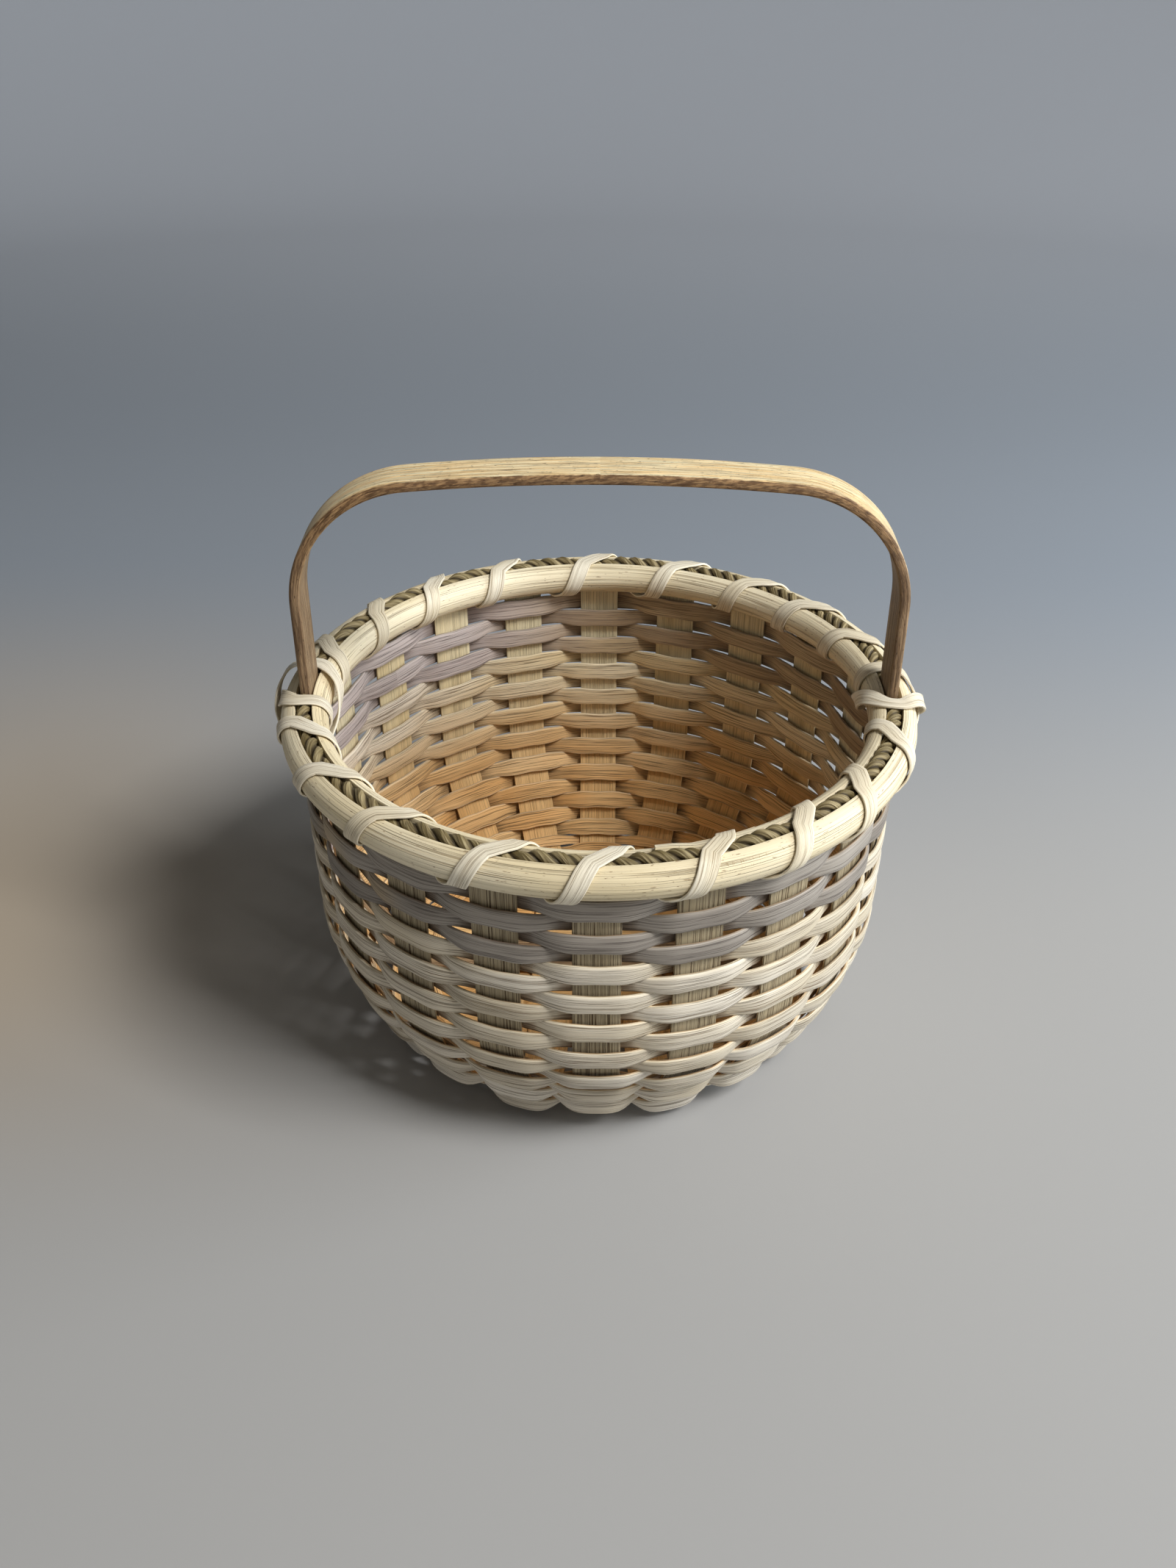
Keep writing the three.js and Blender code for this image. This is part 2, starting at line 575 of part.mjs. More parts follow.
// Centre points and normals of the whole lashing, turn after turn
function lashStations() {
  const template = lashTemplate();
  const steps = template.length;
  const stations = [];
  const addTurn = (angleAt, liftAt) => {
    for (let i = 0; i < steps; i += 1) {
      const share = i / steps;
      const [radius, height, normal] = template[i];
      const angle = angleAt(share);
      const lift = liftAt(share);
      const out = new THREE.Vector3(Math.cos(angle), Math.sin(angle), 0);
      const facing = out.clone().multiplyScalar(normal.x).setZ(normal.y);
      const place = out.multiplyScalar(radius).setZ(height).addScaledVector(facing, lift);
      stations.push({ place, facing });
    }
  };
  const flat = () => 0;
  // A plain turn goes up the outer hoop, over the top and down the inner hoop at an even slant
  const plainTurn = (start, top, end) => {
    const angles = [
      start,
      top - LASH_OVER_ANGLE - LASH_FACE_ANGLE,
      top - LASH_OVER_ANGLE,
      top + LASH_OVER_ANGLE,
      top + LASH_OVER_ANGLE + LASH_FACE_ANGLE,
      end,
    ];
    addTurn((share) => {
      const span = Math.max(1, LASH_PATH.findIndex((at) => at >= share));
      const within = THREE.MathUtils.inverseLerp(LASH_PATH[span - 1], LASH_PATH[span], share);
      return THREE.MathUtils.lerp(angles[span - 1], angles[span], within);
    }, flat);
  };
  // The pair at a leg: the second turn crosses over the first on both faces of the rim
  const eyePair = (at) => {
    const before = at - STAKE_ANGLE / 2;
    const after = at + STAKE_ANGLE / 2;
    const bend = (share, from, top, to) => {
      const rise = THREE.MathUtils.smoothstep(share, 0, 0.5);
      const fall = THREE.MathUtils.smoothstep(share, 0.5, 1);
      return from + (top - from) * rise + (to - top) * fall;
    };
    addTurn((share) => bend(share, before, at + EYE_ANGLE, after - LASH_PAIR_ANGLE), flat);
    const hump = (share) => {
      const outer = Math.max(0, 1 - Math.abs(share - EYE_CROSS_OUTSIDE) / EYE_CROSS_REACH);
      const inner = Math.max(0, 1 - Math.abs(share - EYE_CROSS_INSIDE) / EYE_CROSS_REACH);
      return EYE_LIFT * Math.min(1, 2 * Math.max(outer, inner));
    };
    addTurn((share) => bend(share, after - LASH_PAIR_ANGLE, at - EYE_ANGLE, after + LASH_PAIR_ANGLE), hump);
  };
  // From one handle leg to past the other; under the rim the strip keeps near the middle of a gap
  const halfRound = (leg, leans) => {
    const unders = [leg + STAKE_ANGLE / 2 + LASH_PAIR_ANGLE];
    for (let i = 1; i < leans.length; i += 1) {
      const mean = (leans[i - 1] + leans[i]) / 2;
      const shift = THREE.MathUtils.clamp(mean, -LASH_SHIFT_LIMIT, LASH_SHIFT_LIMIT);
      unders.push(leg + STAKE_ANGLE * (i + 0.5) + shift * DEG);
    }
    unders.push(leg + STAKE_ANGLE * (leans.length + 0.5));
    leans.forEach((lean, i) => {
      plainTurn(unders[i], leg + STAKE_ANGLE * (i + 1) + lean * DEG, unders[i + 1]);
    });
    eyePair(leg + Math.PI);
  };
  halfRound(0, TURN_LEAN_BACK);
  halfRound(Math.PI, TURN_LEAN_FRONT);
  return stations;
}

function lashing() {
  const stations = lashStations();
  const outlines = stations.map(({ place, facing }, i) => {
    const before = stations[Math.max(0, i - 1)].place;
    const after = stations[Math.min(stations.length - 1, i + 1)].place;
    const along = after.clone().sub(before).normalize();
    const across = along.clone().cross(facing).normalize();
    const outward = across.clone().cross(along).normalize();
    return stripSection(place, across, outward, LASH_WIDTH, LASH_THICK);
  });
  console.log(`lashing turns ${stations.length / lashTemplate().length}, least gap to itself`,
    leastGap(outlines).toFixed(2), 'mm');
  return bodyThrough(outlines);
}

// Least distance between points of the strip that are not neighbours along it
function leastGap(outlines) {
  const perTurn = lashTemplate().length;
  const fine = 4;
  const points = [];
  for (let i = 0; i + 1 < outlines.length; i += 1) {
    for (let step = 0; step < fine; step += 1) {
      const ring = outlines[i].map((p, k) => p.clone().lerp(outlines[i + 1][k], step / fine));
      for (let k = 0; k < 4; k += 1) {
        for (let along = 0; along < fine; along += 1) {
          points.push({ at: ring[k].clone().lerp(ring[(k + 1) % 4], along / fine), station: i });
        }
      }
    }
  }
  let least = Infinity;
  for (let a = 0; a < points.length; a += 1) {
    for (let b = a + 1; b < points.length; b += 1) {
      const apart = points[b].station - points[a].station;
      if (apart > 3 * perTurn) {
        break;
      }
      if (apart > 4) {
        least = Math.min(least, points[a].at.distanceTo(points[b].at));
      }
    }
  }
  return least;
}

const basket = new THREE.Group();

function addPart(name, geometry, material) {
  const mesh = new THREE.Mesh(geometry, material);
  mesh.name = name;
  basket.add(mesh);
}

function addTurned(name, geometry, material, angle) {
  addPart(name, geometry, material);
  basket.children[basket.children.length - 1].rotation.z = angle;
}

const twoDigits = (number) => String(number).padStart(2, '0');

for (let i = 0; i < SPOKES_PER_SIDE; i += 1) {
  const index = i - (SPOKES_PER_SIDE - 1) / 2;
  addPart(`spoke_across_${twoDigits(i + 1)}`, spoke(index, true), NATURAL_REED);
  addTurned(`spoke_along_${twoDigits(i + 1)}`, spoke(index, false), NATURAL_REED, Math.PI / 2);
}
for (let row = 1; row <= WALL_ROWS; row += 1) {
  const distance = TOP_ROW_AT - (row - 1) * ROW_PITCH;
  addPart(`wall_row_${twoDigits(row)}`, weaverRow(distance, row % 2 === 1, WEAVER_WIDTH, WEAVER_THICK),
    row <= DYED_ROWS ? DYED_REED : NATURAL_REED);
}
for (let row = 1; row <= BASE_ROWS; row += 1) {
  const distance = BASE_ROW_AT - (row - 1) * BASE_ROW_PITCH;
  const outsideOdd = (WALL_ROWS + row) % 2 === 1;
  addPart(`base_row_${twoDigits(row)}`,
    weaverRow(distance, outsideOdd, BASE_WEAVER_WIDTH, BASE_WEAVER_THICK), NATURAL_REED);
}
addPart('rim_row', weaverRow(RIM_ROW_AT, false, WEAVER_WIDTH, WEAVER_THICK), DYED_REED);
addPart('outer_rim_hoop', hoop(OUTER_FACE, 1, OUTER_SCARF_START), HOOP_REED);
addPart('inner_rim_hoop', hoop(INNER_FACE, -1, INNER_SCARF_START), HOOP_REED);
addPart('rim_filler_back', rimFiller(0), SEAGRASS);
addPart('rim_filler_front', rimFiller(Math.PI), SEAGRASS);
addPart('rim_lashing', lashing(), LASH_REED);
addPart('handle', handle(), OAK);

export default basket;
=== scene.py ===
# %% [markdown]
# # A round reed basket, dressed for a studio picture
# The imported model gives every reed, both hoops and the handle as plain solids. This lesson rebuilds each
# of them in its place, with a rounded section, grain and colour. The imported model is loaded first.

from math import acos, asin, atan2, copysign, cos, floor, hypot, pi, radians, remainder, sin, sqrt, tan, tanh
import random

import bpy
import numpy as np
from mathutils import Matrix, Vector


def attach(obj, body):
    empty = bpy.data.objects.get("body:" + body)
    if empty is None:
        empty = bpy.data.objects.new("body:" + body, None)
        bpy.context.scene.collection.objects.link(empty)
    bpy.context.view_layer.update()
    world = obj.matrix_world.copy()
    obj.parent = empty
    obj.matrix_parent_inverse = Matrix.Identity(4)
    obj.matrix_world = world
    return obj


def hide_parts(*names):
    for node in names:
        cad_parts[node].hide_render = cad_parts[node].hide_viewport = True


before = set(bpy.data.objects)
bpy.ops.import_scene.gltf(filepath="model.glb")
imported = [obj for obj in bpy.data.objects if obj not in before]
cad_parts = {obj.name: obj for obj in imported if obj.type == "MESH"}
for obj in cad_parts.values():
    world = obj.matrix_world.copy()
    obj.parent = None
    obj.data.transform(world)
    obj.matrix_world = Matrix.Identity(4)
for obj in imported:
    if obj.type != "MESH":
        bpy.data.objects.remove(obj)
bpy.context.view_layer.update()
scene = bpy.context.scene
print("packed basket:", len(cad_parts), "nodes")

# %% [markdown]
# All reeds are strips of a few set sizes, and these drive everything else. The numbers are in millimetres,
# as a basket maker measures, and become metres when a mesh is made.

# %% Reed stock and layout
MM, TURN = 0.001, 2 * pi
STAKE_WIDTH, STAKE_THICK = 16.4, 1.1
WEAVER_WIDTH, WEAVER_THICK = 6.1, 1.7
BASE_WEAVER_WIDTH, BASE_WEAVER_THICK = 4.4, 1.2
WEAVE_GAP, STAKES, SPOKES_PER_SIDE = 0.35, 20, 5
STAKE_ANGLE = TURN / STAKES
WEAVE_REACH = STAKE_THICK / 2 + WEAVE_GAP + WEAVER_THICK / 2
BASE_REACH = STAKE_THICK / 2 + WEAVE_GAP + BASE_WEAVER_THICK / 2
FLOOR_LEVEL = BASE_REACH + BASE_WEAVER_THICK / 2 + 0.08
draw = random.Random(11)
print("weavers pass", round(WEAVE_REACH, 2), "mm from the middle of a stake")

# %% [markdown]
# The wall is one half outline turned round the axis: flat base, tight knee, rounded shoulder and nearly
# upright side. It could be a bezier curve, but the solids were drawn with straight runs joined by arcs,
# and so a distance along the outline gives the same place in both.

# %% Half outline of the wall
RIM_RADIUS = 108.35
HOOP_BOTTOM, HOOP_HEIGHT, HOOP_THICK = 124.3, 12.7, 5.8
HOOP_TOP = HOOP_BOTTOM + HOOP_HEIGHT
HOOP_MIDDLE = HOOP_BOTTOM + HOOP_HEIGHT / 2
FILLER_DIAMETER, FILLER_DROP, RIM_GAP = 4.7, 2.8, 0.3
FILLER_LEVEL = HOOP_TOP - FILLER_DROP
STAKE_TOP = FILLER_LEVEL - FILLER_DIAMETER / 2 - RIM_GAP
KNEE, KNEE_BEND = (83.0, FLOOR_LEVEL), 20.0
SHOULDER, SHOULDER_BEND = (106.6, 44.0), 55.0
HALVINGS = 50


class Outline:
    """Straight runs joined by arcs in the plane of radius and height."""

    def __init__(self, corners, bends):
        """Each part is kept as its start or centre, first direction, radius and length."""
        corners = [Vector(corner) for corner in corners]
        self.parts, start = [], corners[0]
        for bend, first, corner, last in zip(bends, corners, corners[1:], corners[2:]):
            before, after = (corner - first).normalized(), (last - corner).normalized()
            turn = atan2(before.x * after.y - before.y * after.x, before.dot(after))
            cut = bend * tan(turn / 2)
            end = corner - before * cut
            self.parts.append((start, before, 0, (end - start).length))
            self.parts.append((end + Vector((-before.y, before.x)) * bend, before, bend, bend * turn))
            start = corner + after * cut
        self.parts.append((start, after, 0, (corners[-1] - start).length))
        self.length = sum(part[3] for part in self.parts)

    def at(self, distance):
        """Point and direction at a distance from the axis, measured along the stake."""
        for part in self.parts:
            origin, before, bend, length = part
            if distance <= length or part is self.parts[-1]:
                break
            distance -= length
        if not bend:
            return origin + before * distance, before
        turned = Matrix.Rotation(distance / bend, 2)
        return origin + turned @ Vector((before.y, -before.x)) * bend, turned @ before

    def distance_at_height(self, height):
        low, high = 0.0, self.length
        for _ in range(HALVINGS):
            middle = (low + high) / 2
            low, high = (low, middle) if self.at(middle)[0].y >= height else (middle, high)
        return high


wall = Outline([(0, FLOOR_LEVEL), KNEE, SHOULDER, (RIM_RADIUS, STAKE_TOP)], [KNEE_BEND, SHOULDER_BEND])
print("a stake is", round(wall.length), "mm long from the middle of the base to the rim")

# %% [markdown]
# Two stakes stand a little further out than the others, because the handle's legs need room inside them.
# A small function gives the middle of any stake at any distance, with the directions out, up and sideways.

# %% Place on a stake
HANDLE_PUSH, PUSH_LOW, PUSH_HIGH = 1.5, 55.0, 100.0
TOP_ROW_HEIGHT, RIM_ROW_RISE = 116.6, 3.75
TOP_ROW_AT = wall.distance_at_height(TOP_ROW_HEIGHT)
RIM_ROW_AT = wall.distance_at_height(HOOP_BOTTOM + RIM_ROW_RISE)


def ease(value, low=0.0, high=1.0):
    """0 below low, 1 above high and a smooth step between."""
    share = min(1.0, max(0.0, (value - low) / (high - low)))
    return share * share * (3 - 2 * share)


def push_out(angle, height):
    """How far a place on the wall stands out for the handle's legs."""
    nearest = min(abs(remainder(angle, TURN)), abs(remainder(angle - pi, TURN)))
    return HANDLE_PUSH * ease(height, PUSH_LOW, PUSH_HIGH) * (1 - ease(nearest / STAKE_ANGLE, 0.35, 0.65))


def polar(angle, radius, height=0.0):
    """A place at an angle round the basket, or a direction."""
    return Vector((radius * cos(angle), radius * sin(angle), height))


def place_on_wall(angle, distance):
    """Centre, outward, up and side directions of the wall at an angle and a distance."""
    point, along = wall.at(distance)
    centre, side = polar(angle, *point), polar(angle + TURN / 4, 1.0)
    outward, up = polar(angle, along.y, -along.x), polar(angle, *along)
    if distance < RIM_ROW_AT - WEAVER_WIDTH:
        centre += outward * push_out(angle, point.y)
    return centre, outward, up, side


print("top row at", round(TOP_ROW_AT, 1), "mm along the wall")

# %% [markdown]
# Every part is a long strip with a flat, oval, half-round or square section. A curve with a bevel could
# sweep them, but it gives no say in how the section twists. So one function joins rings of points into
# a closed mesh, and stores on each corner how far along and around the strip it is, in millimetres.
# The grain is drawn with those two numbers, so that it follows each bend of the reed.

# %% Joining rings into a strip
GRAIN, PLACE = "grain", "place"
CREASE = radians(48)


def strip(name, rings, around, marks, seed=None, loop=False, waves=None):
    """A mesh through rings of points in millimetres, with its grain stored on the corners."""
    seed = draw.uniform(0, 100) if seed is None else seed
    rings = np.array(rings, float)
    count, sides = rings.shape[:2]
    middles = rings.mean(axis=1)
    follow = np.roll(middles, -1, axis=0) if loop else middles[1:]
    steps = np.linalg.norm(follow - middles[:len(follow)], axis=1)
    along = np.concatenate([[0.0], np.cumsum(steps)])
    waves = waves or [0.0] * count
    faces, grain, place = [], [], []
    for i in range(len(steps)):
        j = (i + 1) % count
        for k in range(sides):
            n = (k + 1) % sides
            faces.append((i * sides + k, i * sides + n, j * sides + n, j * sides + k))
            grain += [(along[a], around[b], seed)
                      for a, b in ((i, k), (i, k + 1), (i + 1, k + 1), (i + 1, k))]
            place += [marks[a] + (waves[b],) for a, b in ((k, i), (n, i), (n, j), (k, j))]
    if not loop:
        for end, order in ((0, range(sides - 1, -1, -1)), (count - 1, range(sides))):
            faces.append(tuple(end * sides + k for k in order))
            grain += [(along[end], around[k], seed) for k in order]
            place += [marks[k] + (waves[end],) for k in order]
    mesh = bpy.data.meshes.new(name)
    mesh.from_pydata((rings.reshape(-1, 3) * MM).tolist(), [], faces)
    for label, values in ((GRAIN, grain), (PLACE, place)):
        layer = mesh.attributes.new(label, "FLOAT_VECTOR", "CORNER")
        layer.data.foreach_set("vector", np.array(values, np.float32).ravel())
    if signed_volume(mesh) < 0:
        mesh.flip_normals()
    mesh.shade_smooth()
    mesh.set_sharp_from_angle(angle=CREASE)
    return add_object(name, mesh)


def add_object(name, data):
    made = bpy.data.objects.new(name, data)
    scene.collection.objects.link(made)
    return made


def signed_volume(mesh):
    """Volume of a closed mesh, negative when its faces point inwards."""
    points = np.array([v.co for v in mesh.vertices])
    mesh.calc_loop_triangles()
    corners = np.array([t.vertices for t in mesh.loop_triangles])
    a, b, c = (points[corners[:, i]] for i in range(3))
    return float(np.einsum("ij,ij->i", a, np.cross(b, c)).sum() / 6)


def distances_round(points):
    """How far round a closed section each corner is, and the whole way round at the end."""
    around = [0.0]
    for (a, b), (c, d) in zip(points, points[1:] + points[:1]):
        around.append(around[-1] + hypot(c - a, d - b))
    return around


class Section:
    """A section of flat or oval reed, with what the grain needs of each point."""

    def __init__(self, width, thick, front=2.8, back=5.0, points=16):
        self.width, self.shape, self.marks = width, [], []
        for k in range(points):
            c, s = cos(TURN * k / points), sin(TURN * k / points)
            across = copysign(abs(c) ** (2 / back), c) / 2
            out = copysign(abs(s) ** (2 / (front if s > 0 else back)), s) / 2
            self.shape.append((across * width, out * thick))
            self.marks.append((2 * out, 2 * abs(across)))
        self.around = distances_round(self.shape)

    def ring(self, centre, across, outward, swell=0.0):
        """The section's points round a place, grown across by a share of the width."""
        return [centre + across * (a * (1 + swell)) + outward * b for a, b in self.shape]

    def strip(self, name, rings, **more):
        return strip(name, rings, self.around, self.marks, **more)


weaver_section = Section(WEAVER_WIDTH, WEAVER_THICK)
stake_section = Section(STAKE_WIDTH, STAKE_THICK, 7.0, 7.0, 20)
print("weaver section:", len(weaver_section.shape), "points")

# %% [markdown]
# A start-and-stop row goes over one stake and under the next. Reed is springy, so it stands off each stake
# in one long arc: a cosine squeezed by a hyperbolic tangent draws it. The low rows bulge most and stand
# on their lower edge, because the wall curves away under them, and that gives the foot its scallops.
# Packed rows swell where they cross and over the stakes, and each row wanders by a slow, seeded wobble.

# %% Rows of weaving
STEPS_PER_STAKE, JOIN_STEP = 14, 3
WOBBLE, WIDTH_WOBBLE, CHORD_MORE = 0.08, 0.03, 0.7
BULGE, BULGE_LOW, SPREAD, EDGE_SPREAD = 1.25, 1.45, 0.13, 0.13
CREST, CREST_INSIDE, SWING_INSIDE = 1.2, 1.7, 1.15
FOOT_TILT = radians(24)


def slow_wave(size, turns=(1, 2, 3, 5)):
    """A smooth seeded function of an angle that closes on itself."""
    waves = [(n, draw.uniform(0, TURN), draw.uniform(0.4, 1.0) / n ** 0.5) for n in turns]
    return lambda angle: size * sum(a * sin(n * angle + phase) for n, phase, a in waves) / 2


def weave_row(name, distance, outside_odd, section, reach, packed=0.0, tilt=0.0):
    """One closed row: its middle line waves out and in over the stakes in turn."""
    radius = wall.at(distance)[0].x
    flat_share = (STAKE_WIDTH / 2 + CHORD_MORE) / (radius * STAKE_ANGLE)
    lift, widen = slow_wave(WOBBLE), slow_wave(WIDTH_WOBBLE, (3, 7, 11, 16))
    # the join of a row hides behind a stake, and the joins are spread about
    first = 2 * (JOIN_STEP * round(distance) % (STAKES // 2)) + (0 if outside_odd else 1)
    rings, waves = [], []
    for step in range(STAKES * STEPS_PER_STAKE):
        position = (first + step / STEPS_PER_STAKE) % STAKES
        stake = round(position)
        off = position - stake
        side = 1 if (stake % 2 == 1) == outside_odd else -1
        angle = position * STAKE_ANGLE
        crest, swing = (CREST, 1.0) if side > 0 else (CREST_INSIDE, SWING_INSIDE)
        wave = side * reach * swing * tanh(crest * cos(pi * off)) / tanh(crest)
        # the stake under the row is a straight chord, a little outside the circle at its edges
        chord = radius * (1 / cos(min(abs(off), flat_share) * STAKE_ANGLE) - 1)
        centre, outward, up, side_way = place_on_wall(angle, distance + lift(angle))
        stand = max(0.0, wave / reach) * tilt
        centre += outward * (wave + chord + section.width * (1 + packed) / 2 * sin(stand))
        turned = Matrix.Rotation(-stand, 3, side_way)
        spread = SPREAD * abs(wave) / reach + EDGE_SPREAD * sin(TURN * off) ** 2
        swell = (1 + packed) * (1 + widen(angle) + spread) - 1
        waves.append(wave / reach)
        rings.append(section.ring(centre, turned @ up, turned @ outward, swell))
    return section.strip(name, rings, loop=True, waves=waves)


WALL_ROWS, ROW_PITCH, DYED_ROWS = 18, 6.5, 4
PACKED, TOP_PACKED, BASE_PACKED, TOP_ROW_PUSH = 0.05, 0.16, -0.05, 1.2
rows = []
for row in range(1, WALL_ROWS + 1):
    low = ease(row, 10, WALL_ROWS)
    pushed_up = TOP_ROW_PUSH / 2 ** (row - 1)
    rows.append(weave_row(f"reed_wall_row_{row:02d}", TOP_ROW_AT - (row - 1) * ROW_PITCH + pushed_up,
                          row % 2 == 1, weaver_section, WEAVE_REACH * (BULGE + (BULGE_LOW - BULGE) * low),
                          TOP_PACKED if row == 1 else PACKED, FOOT_TILT * low))
rim_row = weave_row("reed_rim_row", RIM_ROW_AT, False, weaver_section, WEAVE_REACH * BULGE)
print("wall rows:", len(rows), "and the row inside the rim")

# %% [markdown]
# Narrower rows lock the plaited mat of the base before the stakes turn up into the wall.

# %% Rows round the base
BASE_ROWS, BASE_ROW_PITCH, BASE_ROW_START = 4, 5.0, 5.8
LOWEST_ROW_AT = TOP_ROW_AT - (WALL_ROWS - 1) * ROW_PITCH
base_section = Section(BASE_WEAVER_WIDTH, BASE_WEAVER_THICK)
base_rows = []
for row in range(1, BASE_ROWS + 1):
    distance = LOWEST_ROW_AT - BASE_ROW_START - (row - 1) * BASE_ROW_PITCH
    base_rows.append(weave_row(f"reed_base_row_{row:02d}", distance, (WALL_ROWS + row) % 2 == 1,
                               base_section, BASE_REACH, BASE_PACKED))
print("base rows:", len(base_rows))

# %% [markdown]
# Ten long spokes cross in the base, five each way, over one and under the next, and fan out to become
# the twenty stakes. The steps of the mat are short ramps, and the fan is a gentle turn between the mat
# and the first base row, because flat reed hardly bends across its width.

# %% Long spokes
MAT_SPACE, MAT_EDGE, SPLAY_RADIUS, SPLAY_STEP = 2.6, 0.2, 65.0, 1.5
MAT_LIFT = (STAKE_THICK + WEAVE_GAP) / 2
MAT_LEVEL = MAT_LIFT + STAKE_THICK / 2
MAT_PITCH = STAKE_WIDTH + MAT_SPACE
HANDLE_STAKE_SHORT, SPOKE_STEP = 2.8, 3.0


def mat_places(index, raised):
    """Middle line and width direction of half a spoke in the base, from the middle outwards."""
    outermost = (SPOKES_PER_SIDE - 1) // 2
    reach = STAKE_WIDTH / 2 + MAT_EDGE
    places = []

    def add(x, level):
        places.append((Vector((x, index * MAT_PITCH, level)), Vector((0, 1, 0))))

    def level_at(column):
        return MAT_LEVEL + (MAT_LIFT if ((index + column) % 2 == 0) == raised else -MAT_LIFT)

    for column in range(outermost + 1):
        middle, level = column * MAT_PITCH, level_at(column)
        start = middle - reach if column else 0.0
        for share in (0.0, 0.25, 0.5, 0.75, 1.0):
            add(start + (middle + reach - start) * share, level)
        if column < outermost:
            for share in (0.25, 0.5, 0.75):
                add(middle + reach + (MAT_PITCH - 2 * reach) * share,
                    level + (level_at(column + 1) - level) * ease(share))
    edge, angle = places[-1][0], index * STAKE_ANGLE
    fan = polar(angle, SPLAY_RADIUS, FLOOR_LEVEL)
    for share in (0.2, 0.4, 0.6, 0.8, 1.0):
        centre = edge.lerp(fan, share)
        centre.z = edge.z + (FLOOR_LEVEL - edge.z) * ease(share, 0.0, 0.5)
        places.append((centre, polar(angle * ease(share, 0.0, 1.2) + TURN / 4, 1.0)))
    return places


def spoke(name, index, raised):
    """A whole spoke: up one wall, through the mat and up the wall opposite."""
    quarter = 0.0 if raised else pi / 2
    seed = draw.uniform(0, 100)
    narrow = slow_wave(0.02, (1, 2, 4))
    # the stakes behind the handle's legs end below the hoops
    short = STAKE_TOP - HOOP_BOTTOM + HANDLE_STAKE_SHORT if raised and index == 0 else 0.0
    start, top = SPLAY_RADIUS + SPLAY_STEP, wall.length - short
    steps = round((top - start) / SPOKE_STEP)
    halves = []
    for sign in (-1, 1):
        turn = Matrix.Rotation(quarter, 3, "Z") @ Matrix.Diagonal((sign, 1, 1))
        rings = [stake_section.ring(turn @ centre, turn @ across, Vector((0, 0, -1)))
                 for centre, across in mat_places(index, raised)]
        angle = index * STAKE_ANGLE if sign > 0 else pi - index * STAKE_ANGLE
        for i in range(steps + 1):
            distance = start + (top - start) * i / steps
            centre, outward, _, side = place_on_wall(angle + quarter, distance)
            swell = narrow(distance / wall.length * pi)
            rings.append(stake_section.ring(centre, side * sign, outward, swell))
        halves.append(rings)
    # the middle ring is in both halves, so it is kept once
    return stake_section.strip(name, halves[0][:0:-1] + halves[1], seed=seed)


across, along = [], []
for i in range(SPOKES_PER_SIDE):
    index = i - SPOKES_PER_SIDE // 2
    across.append(spoke(f"reed_spoke_across_{i + 1:02d}", index, True))
    along.append(spoke(f"reed_spoke_along_{i + 1:02d}", index, False))
print("spokes:", len(across) + len(along))

# %% [markdown]
# Two hoops of half-round reed clamp the stake tops between their flat sides. Each hoop is one rod whose
# ends are shaved to long tapers and laid over each other, a scarf joint. The taper is made by moving
# the limits between which the half-round section is kept.

# %% Rim hoops
CHANNEL_HALF = WEAVE_REACH + WEAVER_THICK / 2 + RIM_GAP
OUTER_FACE, INNER_FACE = RIM_RADIUS + CHANNEL_HALF, RIM_RADIUS - CHANNEL_HALF
SCARF = radians(24)
SCARF_TIP, END_SHORT, END_RISE = 0.3, 0.16, 1.5
HOOP_ARC, HOOP_STEPS, HOOP_EDGE, HOOP_OFF = 7, 300, 0.35, 0.06


def half_round(low, high):
    """Points (out, up) of the half-round section kept between two shares of its thickness."""
    low_angle, high_angle = acos(low), acos(high)
    angles = [low_angle + (high_angle - low_angle) * i / (HOOP_ARC - 1) for i in range(HOOP_ARC)]
    arc = [(HOOP_THICK * cos(a), HOOP_HEIGHT / 2 * sin(a)) for a in angles]
    corner, edge = min(HOOP_EDGE, HOOP_THICK * (high - low) / 3), arc[0][1]
    upper = [(HOOP_THICK * low, max(0.0, edge - corner)), (HOOP_THICK * low + corner * 0.7, edge)] + arc[1:]
    return upper + [(HOOP_THICK * high, 0.0)] + [(out, -up) for out, up in reversed(upper)]


def rim_hoop(name, face, outward, scarf_start):
    """A hoop that starts as the outer half of its scarf and ends as the inner half."""
    sway, swell = slow_wave(0.12, (2, 3, 5)), slow_wave(0.012, (3, 5, 8))
    rings = []
    reach = TURN + SCARF * (1 - END_SHORT if outward < 0 else 1.0)
    for i in range(HOOP_STEPS + 1):
        turned = reach * i / HOOP_STEPS
        angle = scarf_start + SCARF - turned
        low, high = 0.0, 1.0
        if turned < SCARF:
            low = 1 - max(SCARF_TIP, turned / SCARF)
        elif turned > TURN:
            high = max(SCARF_TIP, 1 - (turned - TURN) / SCARF)
        # the inner hoop's last end is short and has sprung up between two turns of the lashing
        sprung = END_RISE * ease(turned, TURN + SCARF * 0.5, TURN + SCARF * 0.75) if outward < 0 else 0.0
        swollen, level = 1 + swell(angle), HOOP_MIDDLE + sway(angle) + sprung
        rings.append([polar(angle, face + outward * (out * swollen + HOOP_OFF), level + up * swollen)
                      for out, up in half_round(low, high)])
    shape = half_round(0.0, 1.0)
    marks = [(2 * out / HOOP_THICK - 1, abs(up) * 2 / HOOP_HEIGHT) for out, up in shape]
    return strip(name, rings, distances_round(shape), marks)


outer_hoop = rim_hoop("reed_outer_rim_hoop", OUTER_FACE, 1, radians(112))
inner_hoop = rim_hoop("reed_inner_rim_hoop", INNER_FACE, -1, radians(276))
print("hoops:", outer_hoop.name, inner_hoop.name)

